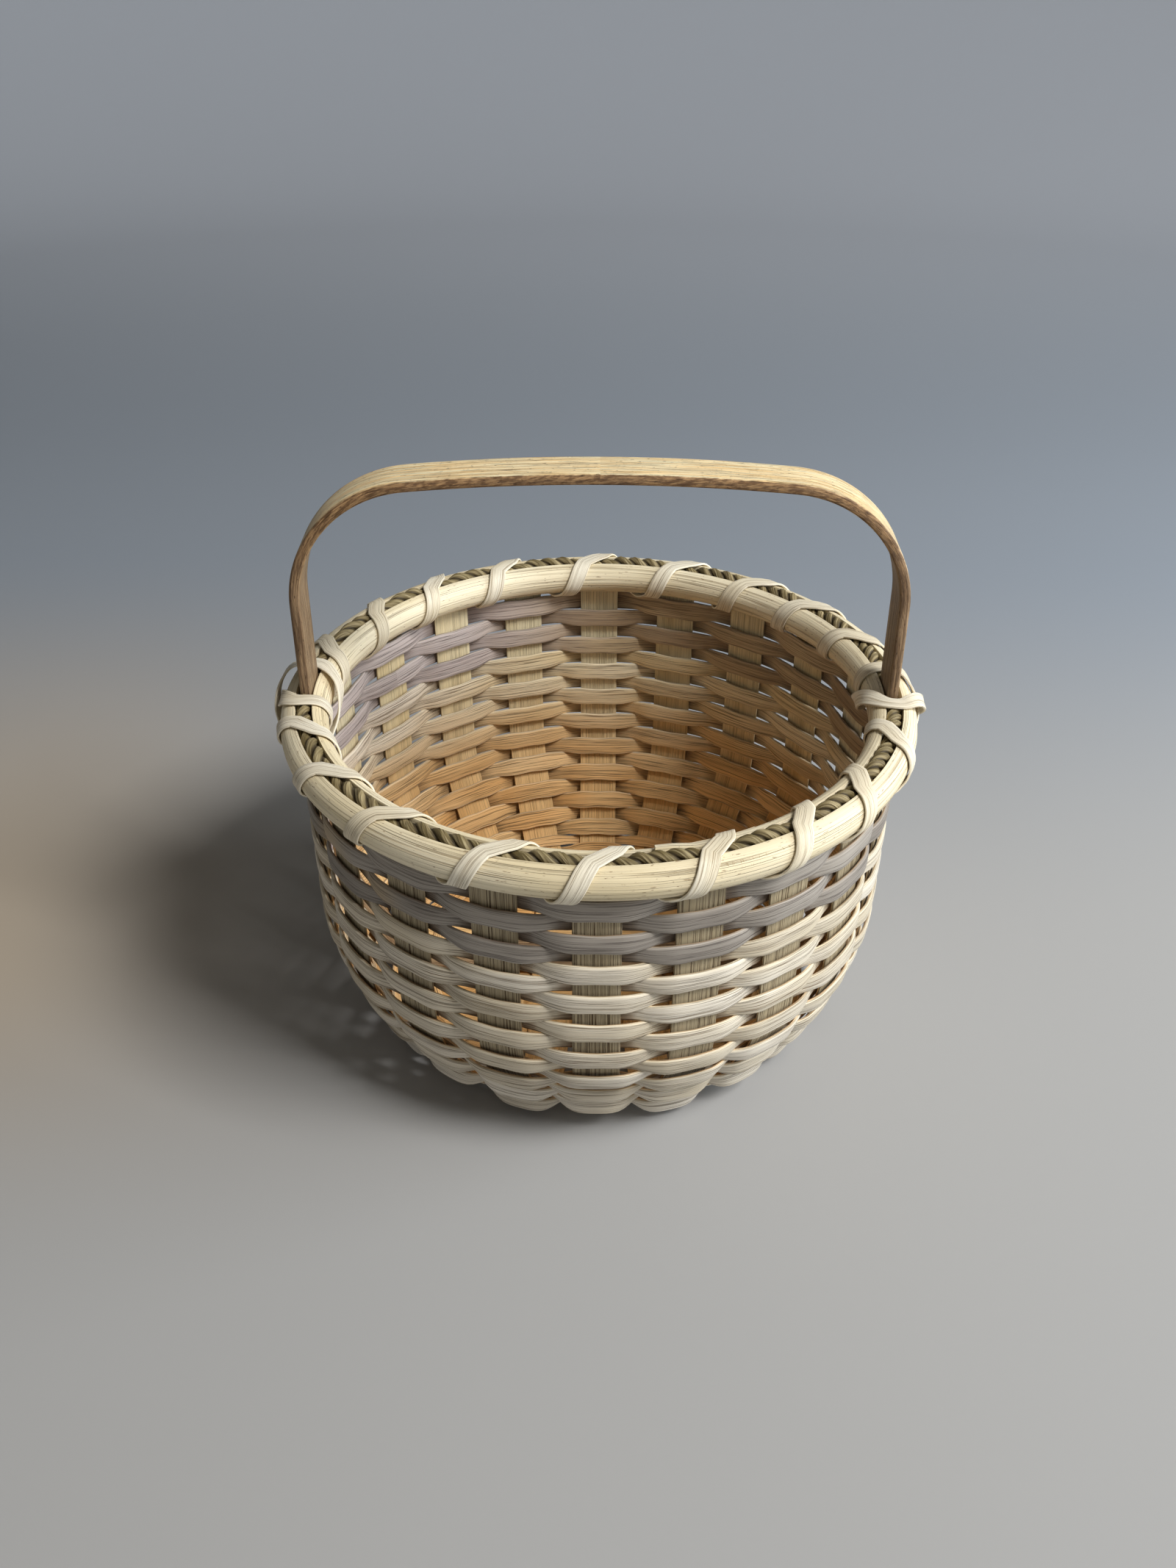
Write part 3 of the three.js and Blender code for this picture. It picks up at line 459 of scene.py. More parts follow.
# %% [markdown]
# Seagrass rope fills the channel between the hoops: two strands twisted round each other, tightly at
# the right and loosely at the left. Two helices give the rope its turns, and low ridges give the blades
# of grass. Each corner stores how far it is from the rope's middle, which tells the finish where
# the grooves are. Each turn of the lashing presses the rope down, and it swells up between them.

# %% Seagrass rope
HANDLE_WIDTH, FILLER_END_GAP = 17.5, 0.6
TIGHT_LAY, LOOSE_LAY, ROPE_RISE, ROPE_SWELL = 9.6, 18.0, 0.5, 1.5
STRAND_RADIUS, STRAND_OFF = FILLER_DIAMETER * 0.39, FILLER_DIAMETER * 0.2
STRAND_SIDES, ROPE_STEP, BLADES, BLADE_RIDGE = 18, 0.6, 7, 0.05
LEAN_BACK = (3.0, 1, -1.5, -1, 1.5, 4.2, 3.8, 2.5, 3)
LEAN_FRONT = (-1, -2, -2, 1.5, 1, 2.5, 1.8, 0, 0)
turn_tops = {leg: [leg + STAKE_ANGLE * (i + 1) + radians(lean) for i, lean in enumerate(leans)]
             for leg, leans in ((0.0, LEAN_BACK), (pi, LEAN_FRONT))}
lash_tops = sum(turn_tops.values(), [leg + side * STAKE_ANGLE / 2 for leg in turn_tops for side in (-1, 1)])


def seagrass_rope(name, start_angle, first_lay, last_lay):
    """Two twisted strands in the channel, from one handle leg to the other."""
    end_turn = asin((HANDLE_WIDTH / 2 + FILLER_END_GAP) / RIM_RADIUS)
    length = (pi - 2 * end_turn) * RIM_RADIUS
    steps = round(length / ROPE_STEP)
    turns = [TURN * k / STRAND_SIDES for k in range(STRAND_SIDES + 1)]
    around = [STRAND_RADIUS * turn for turn in turns]
    marks = [(hypot(STRAND_OFF + STRAND_RADIUS * cos(turn), STRAND_RADIUS * sin(turn))
              / (STRAND_OFF + STRAND_RADIUS), 0.0) for turn in turns]
    strands = []
    for strand in (0, 1):
        rings = []
        seed = draw.uniform(0, 100)
        for i in range(steps + 1):
            along_rope = length * i / steps
            angle = start_angle + end_turn + along_rope / RIM_RADIUS
            tighter = (1 / last_lay - 1 / first_lay) * along_rope / length / 2
            lay = TURN * along_rope * (1 / first_lay + tighter) + strand * pi
            free = ease(min(abs(remainder(angle - top, TURN)) for top in lash_tops), 0.05, 0.11)
            ring = []
            for turn in turns[:-1]:
                blade = STRAND_RADIUS * (1 + BLADE_RIDGE * cos(BLADES * turn + 0.5 * lay + seed))
                radius = RIM_RADIUS + STRAND_OFF * sin(lay) + blade * sin(turn + lay)
                up = STRAND_OFF * cos(lay) + blade * cos(turn + lay)
                ring.append(polar(angle, radius, FILLER_LEVEL + ROPE_RISE + ROPE_SWELL * free + up))
            rings.append(ring)
        strands.append(strip(f"{name}_strand_{strand + 1}", rings, around, marks, seed))
    return strands


filler_back = seagrass_rope("seagrass_back", 0.0, TIGHT_LAY, LOOSE_LAY)
filler_front = seagrass_rope("seagrass_front", pi, LOOSE_LAY, TIGHT_LAY)
print("seagrass strands:", len(filler_back) + len(filler_front))

# %% [markdown]
# The handle is one split of hardwood, steamed and bent into a bow. Its tails run down inside the wall
# and close the bow across the mat. Only the edges of a split are eased with a knife, so the section
# is a flat bar whose corners are cut and whose thickness varies a little.

# %% Handle
HANDLE_THICK, TAIL_THICK, HANDLE_EDGE = 3.8, 3.0, 0.8
HANDLE_TOP, HANDLE_LEG_OUT = HOOP_TOP + 85.6, RIM_RADIUS + 1.15
HANDLE_BEND, HANDLE_CROWN = 47.0, 723.0
CROWN_STEPS, BEND_STEPS, LEG_STEP, WALL_STEPS = 18, 40, 3.0, 70


def handle_places():
    """Half of the bow from the middle of the top: x, z, normal x, normal z and thickness."""
    places = []
    bend_x, crown_z = HANDLE_LEG_OUT - HANDLE_BEND, HANDLE_TOP - HANDLE_CROWN
    bend_z = crown_z + sqrt((HANDLE_CROWN - HANDLE_BEND) ** 2 - bend_x ** 2)
    crown_turn = asin(bend_x / (HANDLE_CROWN - HANDLE_BEND))
    left = pi / 2 - crown_turn
    arcs = [(crown_turn * i / CROWN_STEPS, 0.0, crown_z, HANDLE_CROWN) for i in range(CROWN_STEPS)]
    arcs += [(crown_turn + left * i / BEND_STEPS, bend_x, bend_z, HANDLE_BEND)
             for i in range(BEND_STEPS + 1)]
    for turn, x, z, bend in arcs:
        s, c, radius = sin(turn), cos(turn), bend - HANDLE_THICK / 2
        places.append((x + radius * s, z + radius * c, s, c, HANDLE_THICK))
    notch_in = INNER_FACE + RIM_GAP
    notch_out = RIM_RADIUS + WEAVE_REACH - WEAVER_THICK / 2 - WEAVE_GAP
    tail_gap = WEAVE_REACH + WEAVER_THICK / 2 + WEAVE_GAP
    row_top = wall.at(TOP_ROW_AT + WEAVER_WIDTH / 2)[0]
    tail_out = row_top.x + push_out(0, row_top.y) - tail_gap
    leg = [(places[-1][1], HANDLE_LEG_OUT - HANDLE_THICK, HANDLE_LEG_OUT),
           (HOOP_TOP + 2, HANDLE_LEG_OUT - HANDLE_THICK, HANDLE_LEG_OUT),
           (FILLER_LEVEL, notch_in, HANDLE_LEG_OUT), (STAKE_TOP, notch_in, notch_out),
           (HOOP_BOTTOM - RIM_GAP, notch_in, notch_out),
           (HOOP_BOTTOM - 1.5 * RIM_GAP, tail_out - TAIL_THICK, notch_out - RIM_GAP),
           (row_top.y + RIM_GAP, tail_out - TAIL_THICK, tail_out)]
    for above, below in zip(leg, leg[1:]):
        steps = max(1, round((above[0] - below[0]) / LEG_STEP))
        for i in range(1, steps + 1):
            z, inner, outer = (a + (b - a) * i / steps for a, b in zip(above, below))
            places.append(((inner + outer) / 2, z, 1, 0, outer - inner))
    base_at = LOWEST_ROW_AT - BASE_ROW_START
    base_gap = BASE_REACH + BASE_WEAVER_THICK / 2 + WEAVE_GAP
    for i in range(WALL_STEPS + 1):
        distance = TOP_ROW_AT * (1 - i / WALL_STEPS)
        centre, outward, _, _ = place_on_wall(0.0, distance)
        share = ease(distance, base_at - KNEE_BEND / 2, base_at + KNEE_BEND)
        gap = base_gap + (tail_gap - base_gap) * share + TAIL_THICK / 2
        places.append((centre.x - outward.x * gap, centre.z - outward.z * gap,
                       outward.x, outward.z, TAIL_THICK))
    return places


def handle_outline():
    """Corners of the bar's section as (across, out), with two points on each eased corner."""
    across, edge, thick_edge = HANDLE_WIDTH / 2, HANDLE_EDGE, HANDLE_EDGE / HANDLE_THICK
    corner = [(across, 0.5 - thick_edge, 1), (across - edge * 0.3, 0.5 - thick_edge * 0.3, 1),
              (across - edge, 0.5, 0.9), (across * 0.6, 0.5, 0.5), (across * 0.2, 0.5, 0.0)]
    top = corner + [(-a, b, e) for a, b, e in reversed(corner)]
    return top + [(a, -b, e) for a, b, e in reversed(top)]


def bow(name):
    outline = handle_outline()
    half = handle_places()
    rounded = half + [(-x, z, -nx, nz, t) for x, z, nx, nz, t in reversed(half[1:-1])]
    swell, rough = slow_wave(0.035, (2, 3, 5, 7)), slow_wave(0.25, (7, 11, 17, 26))
    rings = []
    for i, (x, z, nx, nz, thick) in enumerate(rounded):
        turn = TURN * i / len(rounded)
        ring = []
        for a, b, e in outline:
            wide = a * (1 + swell(turn) * 0.3) + copysign(0.35 * rough(turn) * e, a)
            out = b * thick * (1 + swell(turn + 1) * (1 if b > 0 else -1) * 0.5)
            ring.append((x + nx * out, wide, z + nz * out))
        rings.append(ring)
    around = distances_round([(a, b * HANDLE_THICK) for a, b, _ in outline])
    marks = [(2 * b, abs(a) / (HANDLE_WIDTH / 2)) for a, b, _ in outline]
    return strip(name, rings, around, marks, loop=True)


handle = bow("oak_handle")
print("handle is", round(HANDLE_TOP), "mm high")

# %% [markdown]
# One long flat strip lashes the rim. Each turn goes under the hoops between two stakes, up the outside,
# slanting over the rim and down the inside. At a handle leg the strip crosses over itself, outside and
# inside, which leaves an eye round the leg. The middle line of a turn is drawn round the rim's section
# once, and then carried round the basket.

# %% Lashing
LASH_WIDTH, LASH_THICK, LASH_GAP, LASH_DROP = 6.5, 0.9, 0.5, 1.1
LASH_PATH = (0, 0.154, 0.46, 0.54, 0.846, 1)
LASH_OVER, LASH_FACE, LASH_SHIFT = radians(2.0), radians(4.2), 1.5
LASH_PAIR, EYE_ANGLE, EYE_LIFT, EYE_SPAN = radians(2.0), radians(7.4), 2.25, 0.22
HOOP_SIDES, LASH_FINE = 5, 4


def lash_loop():
    """Radius and height of the strip's middle line round the rim, at even shares of a turn."""
    off = LASH_GAP + LASH_THICK / 2
    low, high = HOOP_BOTTOM - LASH_DROP, HOOP_TOP + off

    def side(outward, face, angle):
        out, up = outward * cos(angle), sin(angle)
        normal = Vector((out / HOOP_THICK, up / (HOOP_HEIGHT / 2))).normalized()
        return Vector((face + out * HOOP_THICK, HOOP_MIDDLE + up * HOOP_HEIGHT / 2)) + normal * off

    angles = [radians(-90 + 180 * i / HOOP_SIDES) for i in range(1, HOOP_SIDES)]
    return ([Vector((RIM_RADIUS, low)), Vector((OUTER_FACE + 1, low))]
            + [side(1, OUTER_FACE, a) for a in angles]
            + [Vector((OUTER_FACE, high)), Vector((INNER_FACE, high))]
            + [side(-1, INNER_FACE, a) for a in reversed(angles)]
            + [Vector((INNER_FACE - 1, low))])


def rounded_at(points, position):
    """Catmull-Rom curve through a closed row of points."""
    i = floor(position)
    t = position - i
    a, b, c, d = (points[(i + k) % len(points)] for k in (-1, 0, 1, 2))
    return 0.5 * (2 * b + t * (c - a + t * (2 * a - 5 * b + 4 * c - d + t * (3 * b - a - 3 * c + d))))


def lashing(name):
    loop = lash_loop()
    steps = len(loop)
    centre = Vector((RIM_RADIUS, HOOP_MIDDLE))
    places = []

    def add_turn(angle_at, lift_at=lambda share: 0.0):
        for i in range(steps * LASH_FINE):
            at, share = i / LASH_FINE, i / (steps * LASH_FINE)
            point = rounded_at(loop, at)
            ahead = rounded_at(loop, at + 0.05) - rounded_at(loop, at - 0.05)
            normal = Vector((ahead.y, -ahead.x)).normalized()
            if normal.dot(point - centre) < 0:
                normal = -normal
            facing = polar(angle_at(share), *normal)
            places.append((polar(angle_at(share), *point) + facing * lift_at(share), facing))

    def plain_turn(start, top, end):
        keys = (start, top - LASH_OVER - LASH_FACE, top - LASH_OVER, top + LASH_OVER,
                top + LASH_OVER + LASH_FACE, end)
        add_turn(lambda share: float(np.interp(share, LASH_PATH, keys)))

    def eye_pair(leg):
        before, after = leg - STAKE_ANGLE / 2, leg + STAKE_ANGLE / 2

        def bend(share, start, top, end):
            return start + (top - start) * ease(share, 0, 0.5) + (end - top) * ease(share, 0.5, 1)

        def hump(share):
            nearest = min(abs(share - 0.25), abs(share - 0.8))
            return EYE_LIFT * ease(2 * (1 - nearest / EYE_SPAN))

        add_turn(lambda share: bend(share, before, leg + EYE_ANGLE, after - LASH_PAIR))
        add_turn(lambda share: bend(share, after - LASH_PAIR, leg - EYE_ANGLE, after + LASH_PAIR), hump)

    for leg, leans in ((0.0, LEAN_BACK), (pi, LEAN_FRONT)):
        shifts = [max(-LASH_SHIFT, min(LASH_SHIFT, (a + b) / 2)) for a, b in zip(leans, leans[1:])]
        unders = [leg + STAKE_ANGLE * (i + 1.5) + radians(shift) for i, shift in enumerate(shifts)]
        unders = [leg + STAKE_ANGLE / 2 + LASH_PAIR] + unders + [leg + STAKE_ANGLE * (len(leans) + 0.5)]
        for start, top, end in zip(unders, turn_tops[leg], unders[1:]):
            plain_turn(start, top, end)
        eye_pair(leg + pi)
    section = Section(LASH_WIDTH, LASH_THICK, 3.0, 7.0)
    swell = slow_wave(0.03, (7, 13, 29, 41))
    rings = []
    for i, (place, facing) in enumerate(places):
        before, after = places[max(0, i - 1)][0], places[min(len(places) - 1, i + 1)][0]
        along = (after - before).normalized()
        across = along.cross(facing).normalized()
        rings.append(section.ring(place, across, across.cross(along), swell(TURN * i / len(places))))
    return section.strip(name, rings)


rim_lashing = lashing("reed_rim_lashing")
print("lashing points:", len(rim_lashing.data.vertices))

# %% [markdown]
# Finishes are worked out with ordinary sums. A small class wraps a shader socket, so that adding two
# of them or taking one from 1 makes the Math node for it. Any other node comes from one method that takes
# a type, settings and what goes into the sockets.

# %% Sums on shader sockets
NOISE_LOW, NOISE_HIGH = 0.36, 0.64


def colour(code):
    """Linear colour from the six-digit code of a paint swatch."""
    parts = [int(code[i:i + 2], 16) / 255 for i in (0, 2, 4)]
    return tuple(p / 12.92 if p <= 0.04045 else ((p + 0.055) / 1.055) ** 2.4 for p in parts) + (1.0,)


class Wire:
    """A shader socket that takes part in sums."""

    def __init__(self, finish, socket):
        self.finish, self.socket = finish, socket

    def __add__(self, other):
        return self.finish.maths("ADD", self, other)

    def __sub__(self, other):
        return self.finish.maths("SUBTRACT", self, other)

    def __rsub__(self, other):
        return self.finish.maths("SUBTRACT", other, self)

    def __mul__(self, other):
        return self.finish.maths("MULTIPLY", self, other)

    __radd__ = __add__
    __rmul__ = __mul__


class Finish:
    """A material made one expression at a time: first a body colour, then more laid over it."""

    def __init__(self, name):
        self.material = bpy.data.materials.new(name)
        self.material.use_nodes = True
        self.tree = self.material.node_tree
        self.tree.nodes.clear()
        self.body = None

    def node(self, kind, settings, inputs, output=0):
        """Any node: its settings first, then wires, values or swatch codes for its sockets."""
        made = self.tree.nodes.new(kind)
        for key, value in settings.items():
            setattr(made, key, value)
        for key, value in inputs.items():
            if isinstance(value, Wire):
                self.tree.links.new(value.socket, made.inputs[key])
            else:
                made.inputs[key].default_value = colour(value) if isinstance(value, str) else value
        return Wire(self, made.outputs[output]) if made.outputs else made

    def maths(self, operation, *values):
        return self.node("ShaderNodeMath", {"operation": operation}, dict(enumerate(values)))

    def between(self, value, low=NOISE_LOW, high=NOISE_HIGH, start=0.0, end=1.0):
        """start below low, end above high, smooth between."""
        return self.node("ShaderNodeMapRange", {"interpolation_type": "SMOOTHSTEP"},
                         {"Value": value, "From Min": low, "From Max": high, "To Min": start, "To Max": end})

    def mix(self, share, first, second, blend="MIX"):
        """Two colours mixed, or the second multiplied onto the first."""
        return self.node("ShaderNodeMix", {"data_type": "RGBA", "blend_type": blend},
                         {0: share, 6: first, 7: second}, output=2)

    def noise(self, x, y, z, detail=2.0, rough=0.5, warp=0.0):
        place = self.node("ShaderNodeCombineXYZ", {}, {0: x, 1: y, 2: z})
        return self.node("ShaderNodeTexNoise", {}, {"Vector": place, "Scale": 1.0, "Detail": detail,
                                                    "Roughness": rough, "Distortion": warp})

    def lines(self, noise, width):
        """Thin lines where a noise passes through its middle value."""
        return self.between(self.maths("ABSOLUTE", noise - 0.5), 0.0, width, 1.0, 0.0)

    def parts(self, vector):
        first = self.node("ShaderNodeSeparateXYZ", {}, {0: vector})
        return [Wire(self, socket) for socket in first.socket.node.outputs]

    def stored(self, label):
        """The three numbers that a strip stores on its corners."""
        return self.parts(self.node("ShaderNodeAttribute", {"attribute_name": label}, {}, output=1))

    def place(self):
        """Where a point is, in metres: to the right, to the back and up."""
        return self.parts(self.node("ShaderNodeTexCoord", {}, {}, output=3))

    def over(self, share, tint, blend="MIX"):
        """Lay a colour over the body."""
        self.body = self.mix(share, self.body, tint, blend)

    def tint(self, value, low, high, most, tint):
        """Lay a colour over the body where a value goes from low to high."""
        self.over(self.between(value, low, high) * most, tint)

    def surface(self, rough, height, relief, shine):
        """The finished surface: body colour, roughness and relief in millimetres of height."""
        bump = self.node("ShaderNodeBump", {}, {"Strength": 1.0, "Distance": relief * MM, "Height": height})
        shader = self.node("ShaderNodeBsdfPrincipled", {}, {
            "Base Color": self.body, "Roughness": rough, "Normal": bump, "Specular IOR Level": shine})
        self.node("ShaderNodeOutputMaterial", {}, {"Surface": shader})
        return self.material


print("finishes start from", colour("d9c596")[:3])

# %% [markdown]
# Reed is the core of a rattan vine, sliced flat. Its vessels are cut open along the face, so they show
# as crisp thin lines that run the whole length of a strip and wander a little. A line is drawn where
# a stretched noise passes through its middle value, and a second noise says where the lines fade.

# %% Grain of reed
class Reed(Finish):
    """A finish with the grain that all reeds share."""

    def __init__(self, name, per_mm, stretch, line_width):
        super().__init__(name)
        self.along, self.around, self.seed = self.stored(GRAIN)
        self.out, self.edge, wave = self.stored(PLACE)
        self.side, _, self.height = self.place()
        self.vessels = self.lines(self.stretched(per_mm, stretch, 3.1), line_width)
        self.fine = self.stretched(per_mm * 3.2, stretch, 5.3)
        self.broken = self.stretched(per_mm * 0.8, 22.0, 7.9)
        self.slow = self.noise(self.along * 0.018, self.around * 0.05, self.seed * 1.7)
        self.strip_tone = self.noise(self.seed * 0.73, 0.0, 0.0, detail=0.0)
        self.outside = self.between(self.out, -0.3, 0.3)
        # painted shade: darker where a row dives behind a stake, on the face the stake hides
        self.painted_dive_shade = self.between(wave * (1 - self.outside * 2), 0.1 + self.outside * 0.4, 1.0)

    def stretched(self, per_mm, stretch, seed_step):
        """Noise drawn out along the strip."""
        return self.noise(self.along * (per_mm / stretch), self.around * per_mm, self.seed * seed_step)

    def inner_face_with_bounce_light(self, tone, dark, light):
        """The face inside the basket, with painted warm bounce light that makes it more orange towards the
        floor.
        """
        low = self.between(self.height, 0.095, 0.02, 0.0, 0.85)
        # painted warm bounce light: the inner face turns orange towards the floor
        return self.mix(low, self.mix(tone, dark, light), self.mix(tone, "e4a85e", "f6c784"))

    def draw_vessels(self, dark, faint, strong):
        """The vessels, fainter in some places than in others."""
        self.over(self.vessels * self.between(self.broken, 0.38, 0.6, faint, strong), dark)

    def shade(self):
        """Painted shade where a row dives behind a stake."""
        self.over(self.painted_dive_shade * 0.7, "b09c88", "MULTIPLY")

    def reed_surface(self, rough, relief, shine):
        cut = self.vessels * self.between(self.broken, 0.38, 0.6, 0.4, 1.0)
        return self.surface(self.fine * 0.2 + rough, self.fine * 0.35 - cut, relief, shine)


def finish_weaver(name):
    """Oval reed: cream outside, honey inside, with painted window light on the inner left side."""
    reed = Reed(name, 2.0, 190.0, 0.055)
    tone = reed.between(reed.slow * 0.55 + reed.strip_tone * 0.45)
    reed.body = reed.inner_face_with_bounce_light(tone, "e8d2a6", "f6eacd")
    # painted window light: paler where the window lights the inner wall on the left
    painted_window_light = reed.between(reed.side, -0.03, -0.095) * reed.between(reed.height, 0.05, 0.11)
    reed.over(painted_window_light * 0.8, "ebe4e0")
    reed.over(reed.outside, reed.mix(tone, "dcd0b8", "f0e8d9"))
    reed.tint(reed.fine, 0.5, 0.66, 0.3, "b29770")
    reed.draw_vessels("7a6243", 0.4, 0.9)
    # painted highlight along both edges of the strip
    reed.tint(reed.edge, 0.78, 1.0, 0.4, "f0e3c6")
    reed.shade()
    return reed.reed_surface(0.52, 0.2, 0.35)


def finish_stake(name):
    """Flat reed: a rough grey-tan back with dark lines outside, a smooth yellow face inside."""
    reed = Reed(name, 1.35, 190.0, 0.06)
    tone = reed.between(reed.slow * 0.5 + reed.strip_tone * 0.5)
    reed.body = reed.inner_face_with_bounce_light(tone, "e4cc9a", "f2e4bf")
    reed.over(reed.outside, reed.mix(tone, "a09276", "b9ab8e"))
    reed.tint(reed.fine, 0.5, 0.66, 0.3, "9c8660")
    depth = reed.between(reed.out, -0.3, 0.3, 0.3, 1.0)
    reed.over(reed.vessels * reed.between(reed.broken, 0.36, 0.58, 0.5, 0.95) * depth, "503b24")
    return reed.reed_surface(0.55, 0.16, 0.3)


def finish_hoop(name):
    """Half-round reed: straw cream, with deep open grooves and small brown flecks."""
    reed = Reed(name, 0.7, 130.0, 0.04)
    tone = reed.between(reed.slow * 0.7 + reed.strip_tone * 0.3)
    reed.body = reed.mix(tone, "e6d6b0", "f3e7c9")
    reed.tint(reed.fine, 0.5, 0.64, 0.3, "d2bd92")
    reed.draw_vessels("86693f", 0.0, 0.5)
    cross = reed.noise(reed.along * 0.45, reed.around * 0.05, reed.seed * 4.4, 1.0)
    crack = reed.lines(cross, 0.03) * reed.between(reed.broken, 0.55, 0.62)
    bent = reed.noise(reed.along * 0.02, 0.0, reed.seed * 3.7, 0.0)
    reed.over(crack * reed.between(bent, 0.62, 0.68) * 0.6, "a88a58")
    flecks = reed.noise(reed.along * 0.35, reed.around * 1.6, reed.seed * 9.1)
    reed.tint(flecks, 0.66, 0.72, 0.7, "7a552d")
    return reed.reed_surface(0.45, 0.22, 0.4)


def finish_lashing(name):
    """The lashing strip: the palest reed, fine and even, with soft fibre lines."""
    reed = Reed(name, 2.2, 190.0, 0.055)
    reed.body = reed.mix(reed.between(reed.slow), "eadec3", "f4ecd8")
    reed.tint(reed.fine, 0.5, 0.66, 0.35, "d6c39c")
    reed.draw_vessels("a08761", 0.25, 0.85)
    # painted highlight along both edges of the strip
    reed.tint(reed.edge, 0.85, 1.0, 0.3, "fbf2dc")
    return reed.reed_surface(0.45, 0.1, 0.4)


weaver_reed, stake_reed = finish_weaver("weaver_reed"), finish_stake("stake_reed")
hoop_reed, lashing_reed = finish_hoop("hoop_reed"), finish_lashing("lashing_reed")
print("reed finishes:", weaver_reed.name, stake_reed.name, hoop_reed.name, lashing_reed.name)

# %% [markdown]
# The top rows are dyed a warm taupe with a touch of lilac. Dye takes unevenly: it sinks into the open
# vessels, is thin on the ridges and fades out in places to the bare reed, so a slow noise mixes the two.

# %% Dyed reed
def finish_dyed(name):
    reed = Reed(name, 2.0, 190.0, 0.055)
    tone = reed.between(reed.slow * 0.6 + reed.fine * 0.4, 0.36, 0.62)
    reed.body = reed.mix(tone, "b5a7a3", "cfc3bf")
    # painted shade and warm bounce light: the inner face turns browner from the middle to the right-hand
    # side
    reed.over(reed.between(reed.side, -0.06, 0.01, 0.0, 0.85), reed.mix(tone, "a98f6c", "cdb58c"))
    reed.over(reed.outside, reed.mix(tone, "918980", "aea69c"))
    fading = reed.noise(reed.along * 0.011, 0.0, reed.seed * 2.3, 1.0)
    reed.tint(fading, 0.58, 0.7, 0.5, "c4ab82")
    reed.draw_vessels("4f453f", 0.3, 0.8)
    # painted highlight along both edges of the strip
    reed.tint(reed.edge, 0.8, 1.0, 0.3, "c2b6a8")
    reed.shade()
    return reed.reed_surface(0.58, 0.14, 0.3)


dyed_reed = finish_dyed("dyed_reed")
print("dyed finish:", dyed_reed.name)

# %% [markdown]
# Seagrass dries to olive, straw and brown blades. The blades run askew along each strand,
# and painted shade makes the grooves between the strands nearly black.

# %% Seagrass
def finish_grass(name):
    grass = Finish(name)
    along, around, seed = grass.stored(GRAIN)
    from_middle, _, _ = grass.stored(PLACE)
    skew = around + along * 0.3
    lines = grass.noise(along * 0.06, skew * 1.5, seed)
    patch = grass.noise(along * 0.06, skew * 0.25, seed * 2.0)
    grass.body = grass.mix(grass.between(patch, 0.38, 0.62), "70623f", "9d8d68")
    grass.tint(lines, 0.5, 0.64, 0.6, "51432a")
    grass.tint(lines, 0.45, 0.34, 0.5, "c2b38b")
    # painted shade in the grooves between the strands
    grass.tint(from_middle, 0.8, 0.64, 0.85, "2f2414")
    return grass.surface(0.6, lines, 0.3, 0.3)


seagrass = finish_grass("seagrass_rope")
print("rope finish:", seagrass.name)

# %% [markdown]
# The handle is ring-porous hardwood, scraped but not sanded: pale straw on its broad outer face,
# brown and torn along the edges where the wood was split, and brown on the legs. The mark on each corner
# says how near the edge of the section it is.

# %% Hardwood of the handle
def finish_handle(name):
    wood = Finish(name)
    along, around, seed = wood.stored(GRAIN)
    out, edge, _ = wood.stored(PLACE)
    _, _, height = wood.place()
    grain = wood.noise(along * 0.03, around * 0.8, seed, 5.0, 0.62, warp=0.25)
    pores = wood.noise(along * 0.09, around * 2.6, seed + 9.0, 3.0, 0.6)
    flecks = wood.noise(along * 0.4, around * 1.5, seed + 4.0)
    fibres = wood.noise(along * 0.012, around * 1.1, seed + 2.0, 3.0, 0.6)
    torn = wood.noise(along * 0.22, around * 0.9 + along * 0.12, seed + 6.0, 4.0, 0.65)
    torn_edge, under = wood.between(edge + torn * 0.14, 0.98, 1.04), wood.between(out, 0.2, -0.4)
    wood.body = wood.mix(wood.between(grain), "fff0c6", "fbd69a")
    brown = wood.mix(wood.between(torn, 0.4, 0.6), "ba9468", "795a3c")
    wood.over(wood.maths("MAXIMUM", torn_edge, under * 0.6), brown)
    # browner lower down the bow, below the crown
    lower_brown = wood.mix(wood.between(grain, 0.42, 0.58), "a28768", "6e5742")
    wood.over(wood.between(height, 0.215, 0.17, 0.0, 0.85), lower_brown)
    line, dark = wood.lines(fibres, 0.035), wood.between(pores, 0.57, 0.65)
    wood.over(line * wood.between(pores, 0.4, 0.6, 0.1, 0.5), "7a5632")
    wood.over(dark * 0.28, "5a4028")
    wood.tint(flecks, 0.64, 0.7, 0.8, "4a3320")
    relief = grain * 0.5 - dark * 0.6 - line * 0.5 + torn * torn_edge
    return wood.surface(pores * 0.2 + 0.45, relief, 0.3, 0.4)


handle_wood = finish_handle("handle_wood")
print("handle finish:", handle_wood.name)

# %% [markdown]
# Each dressed piece now takes the place of its plain solid, which is hidden: it rides on the basket's one
# body and wears its finish.

# %% Dressing the solids
def dress(piece, finish, slot, node):
    piece.data.materials.append(finish)
    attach(piece, "root")
    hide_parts(node)


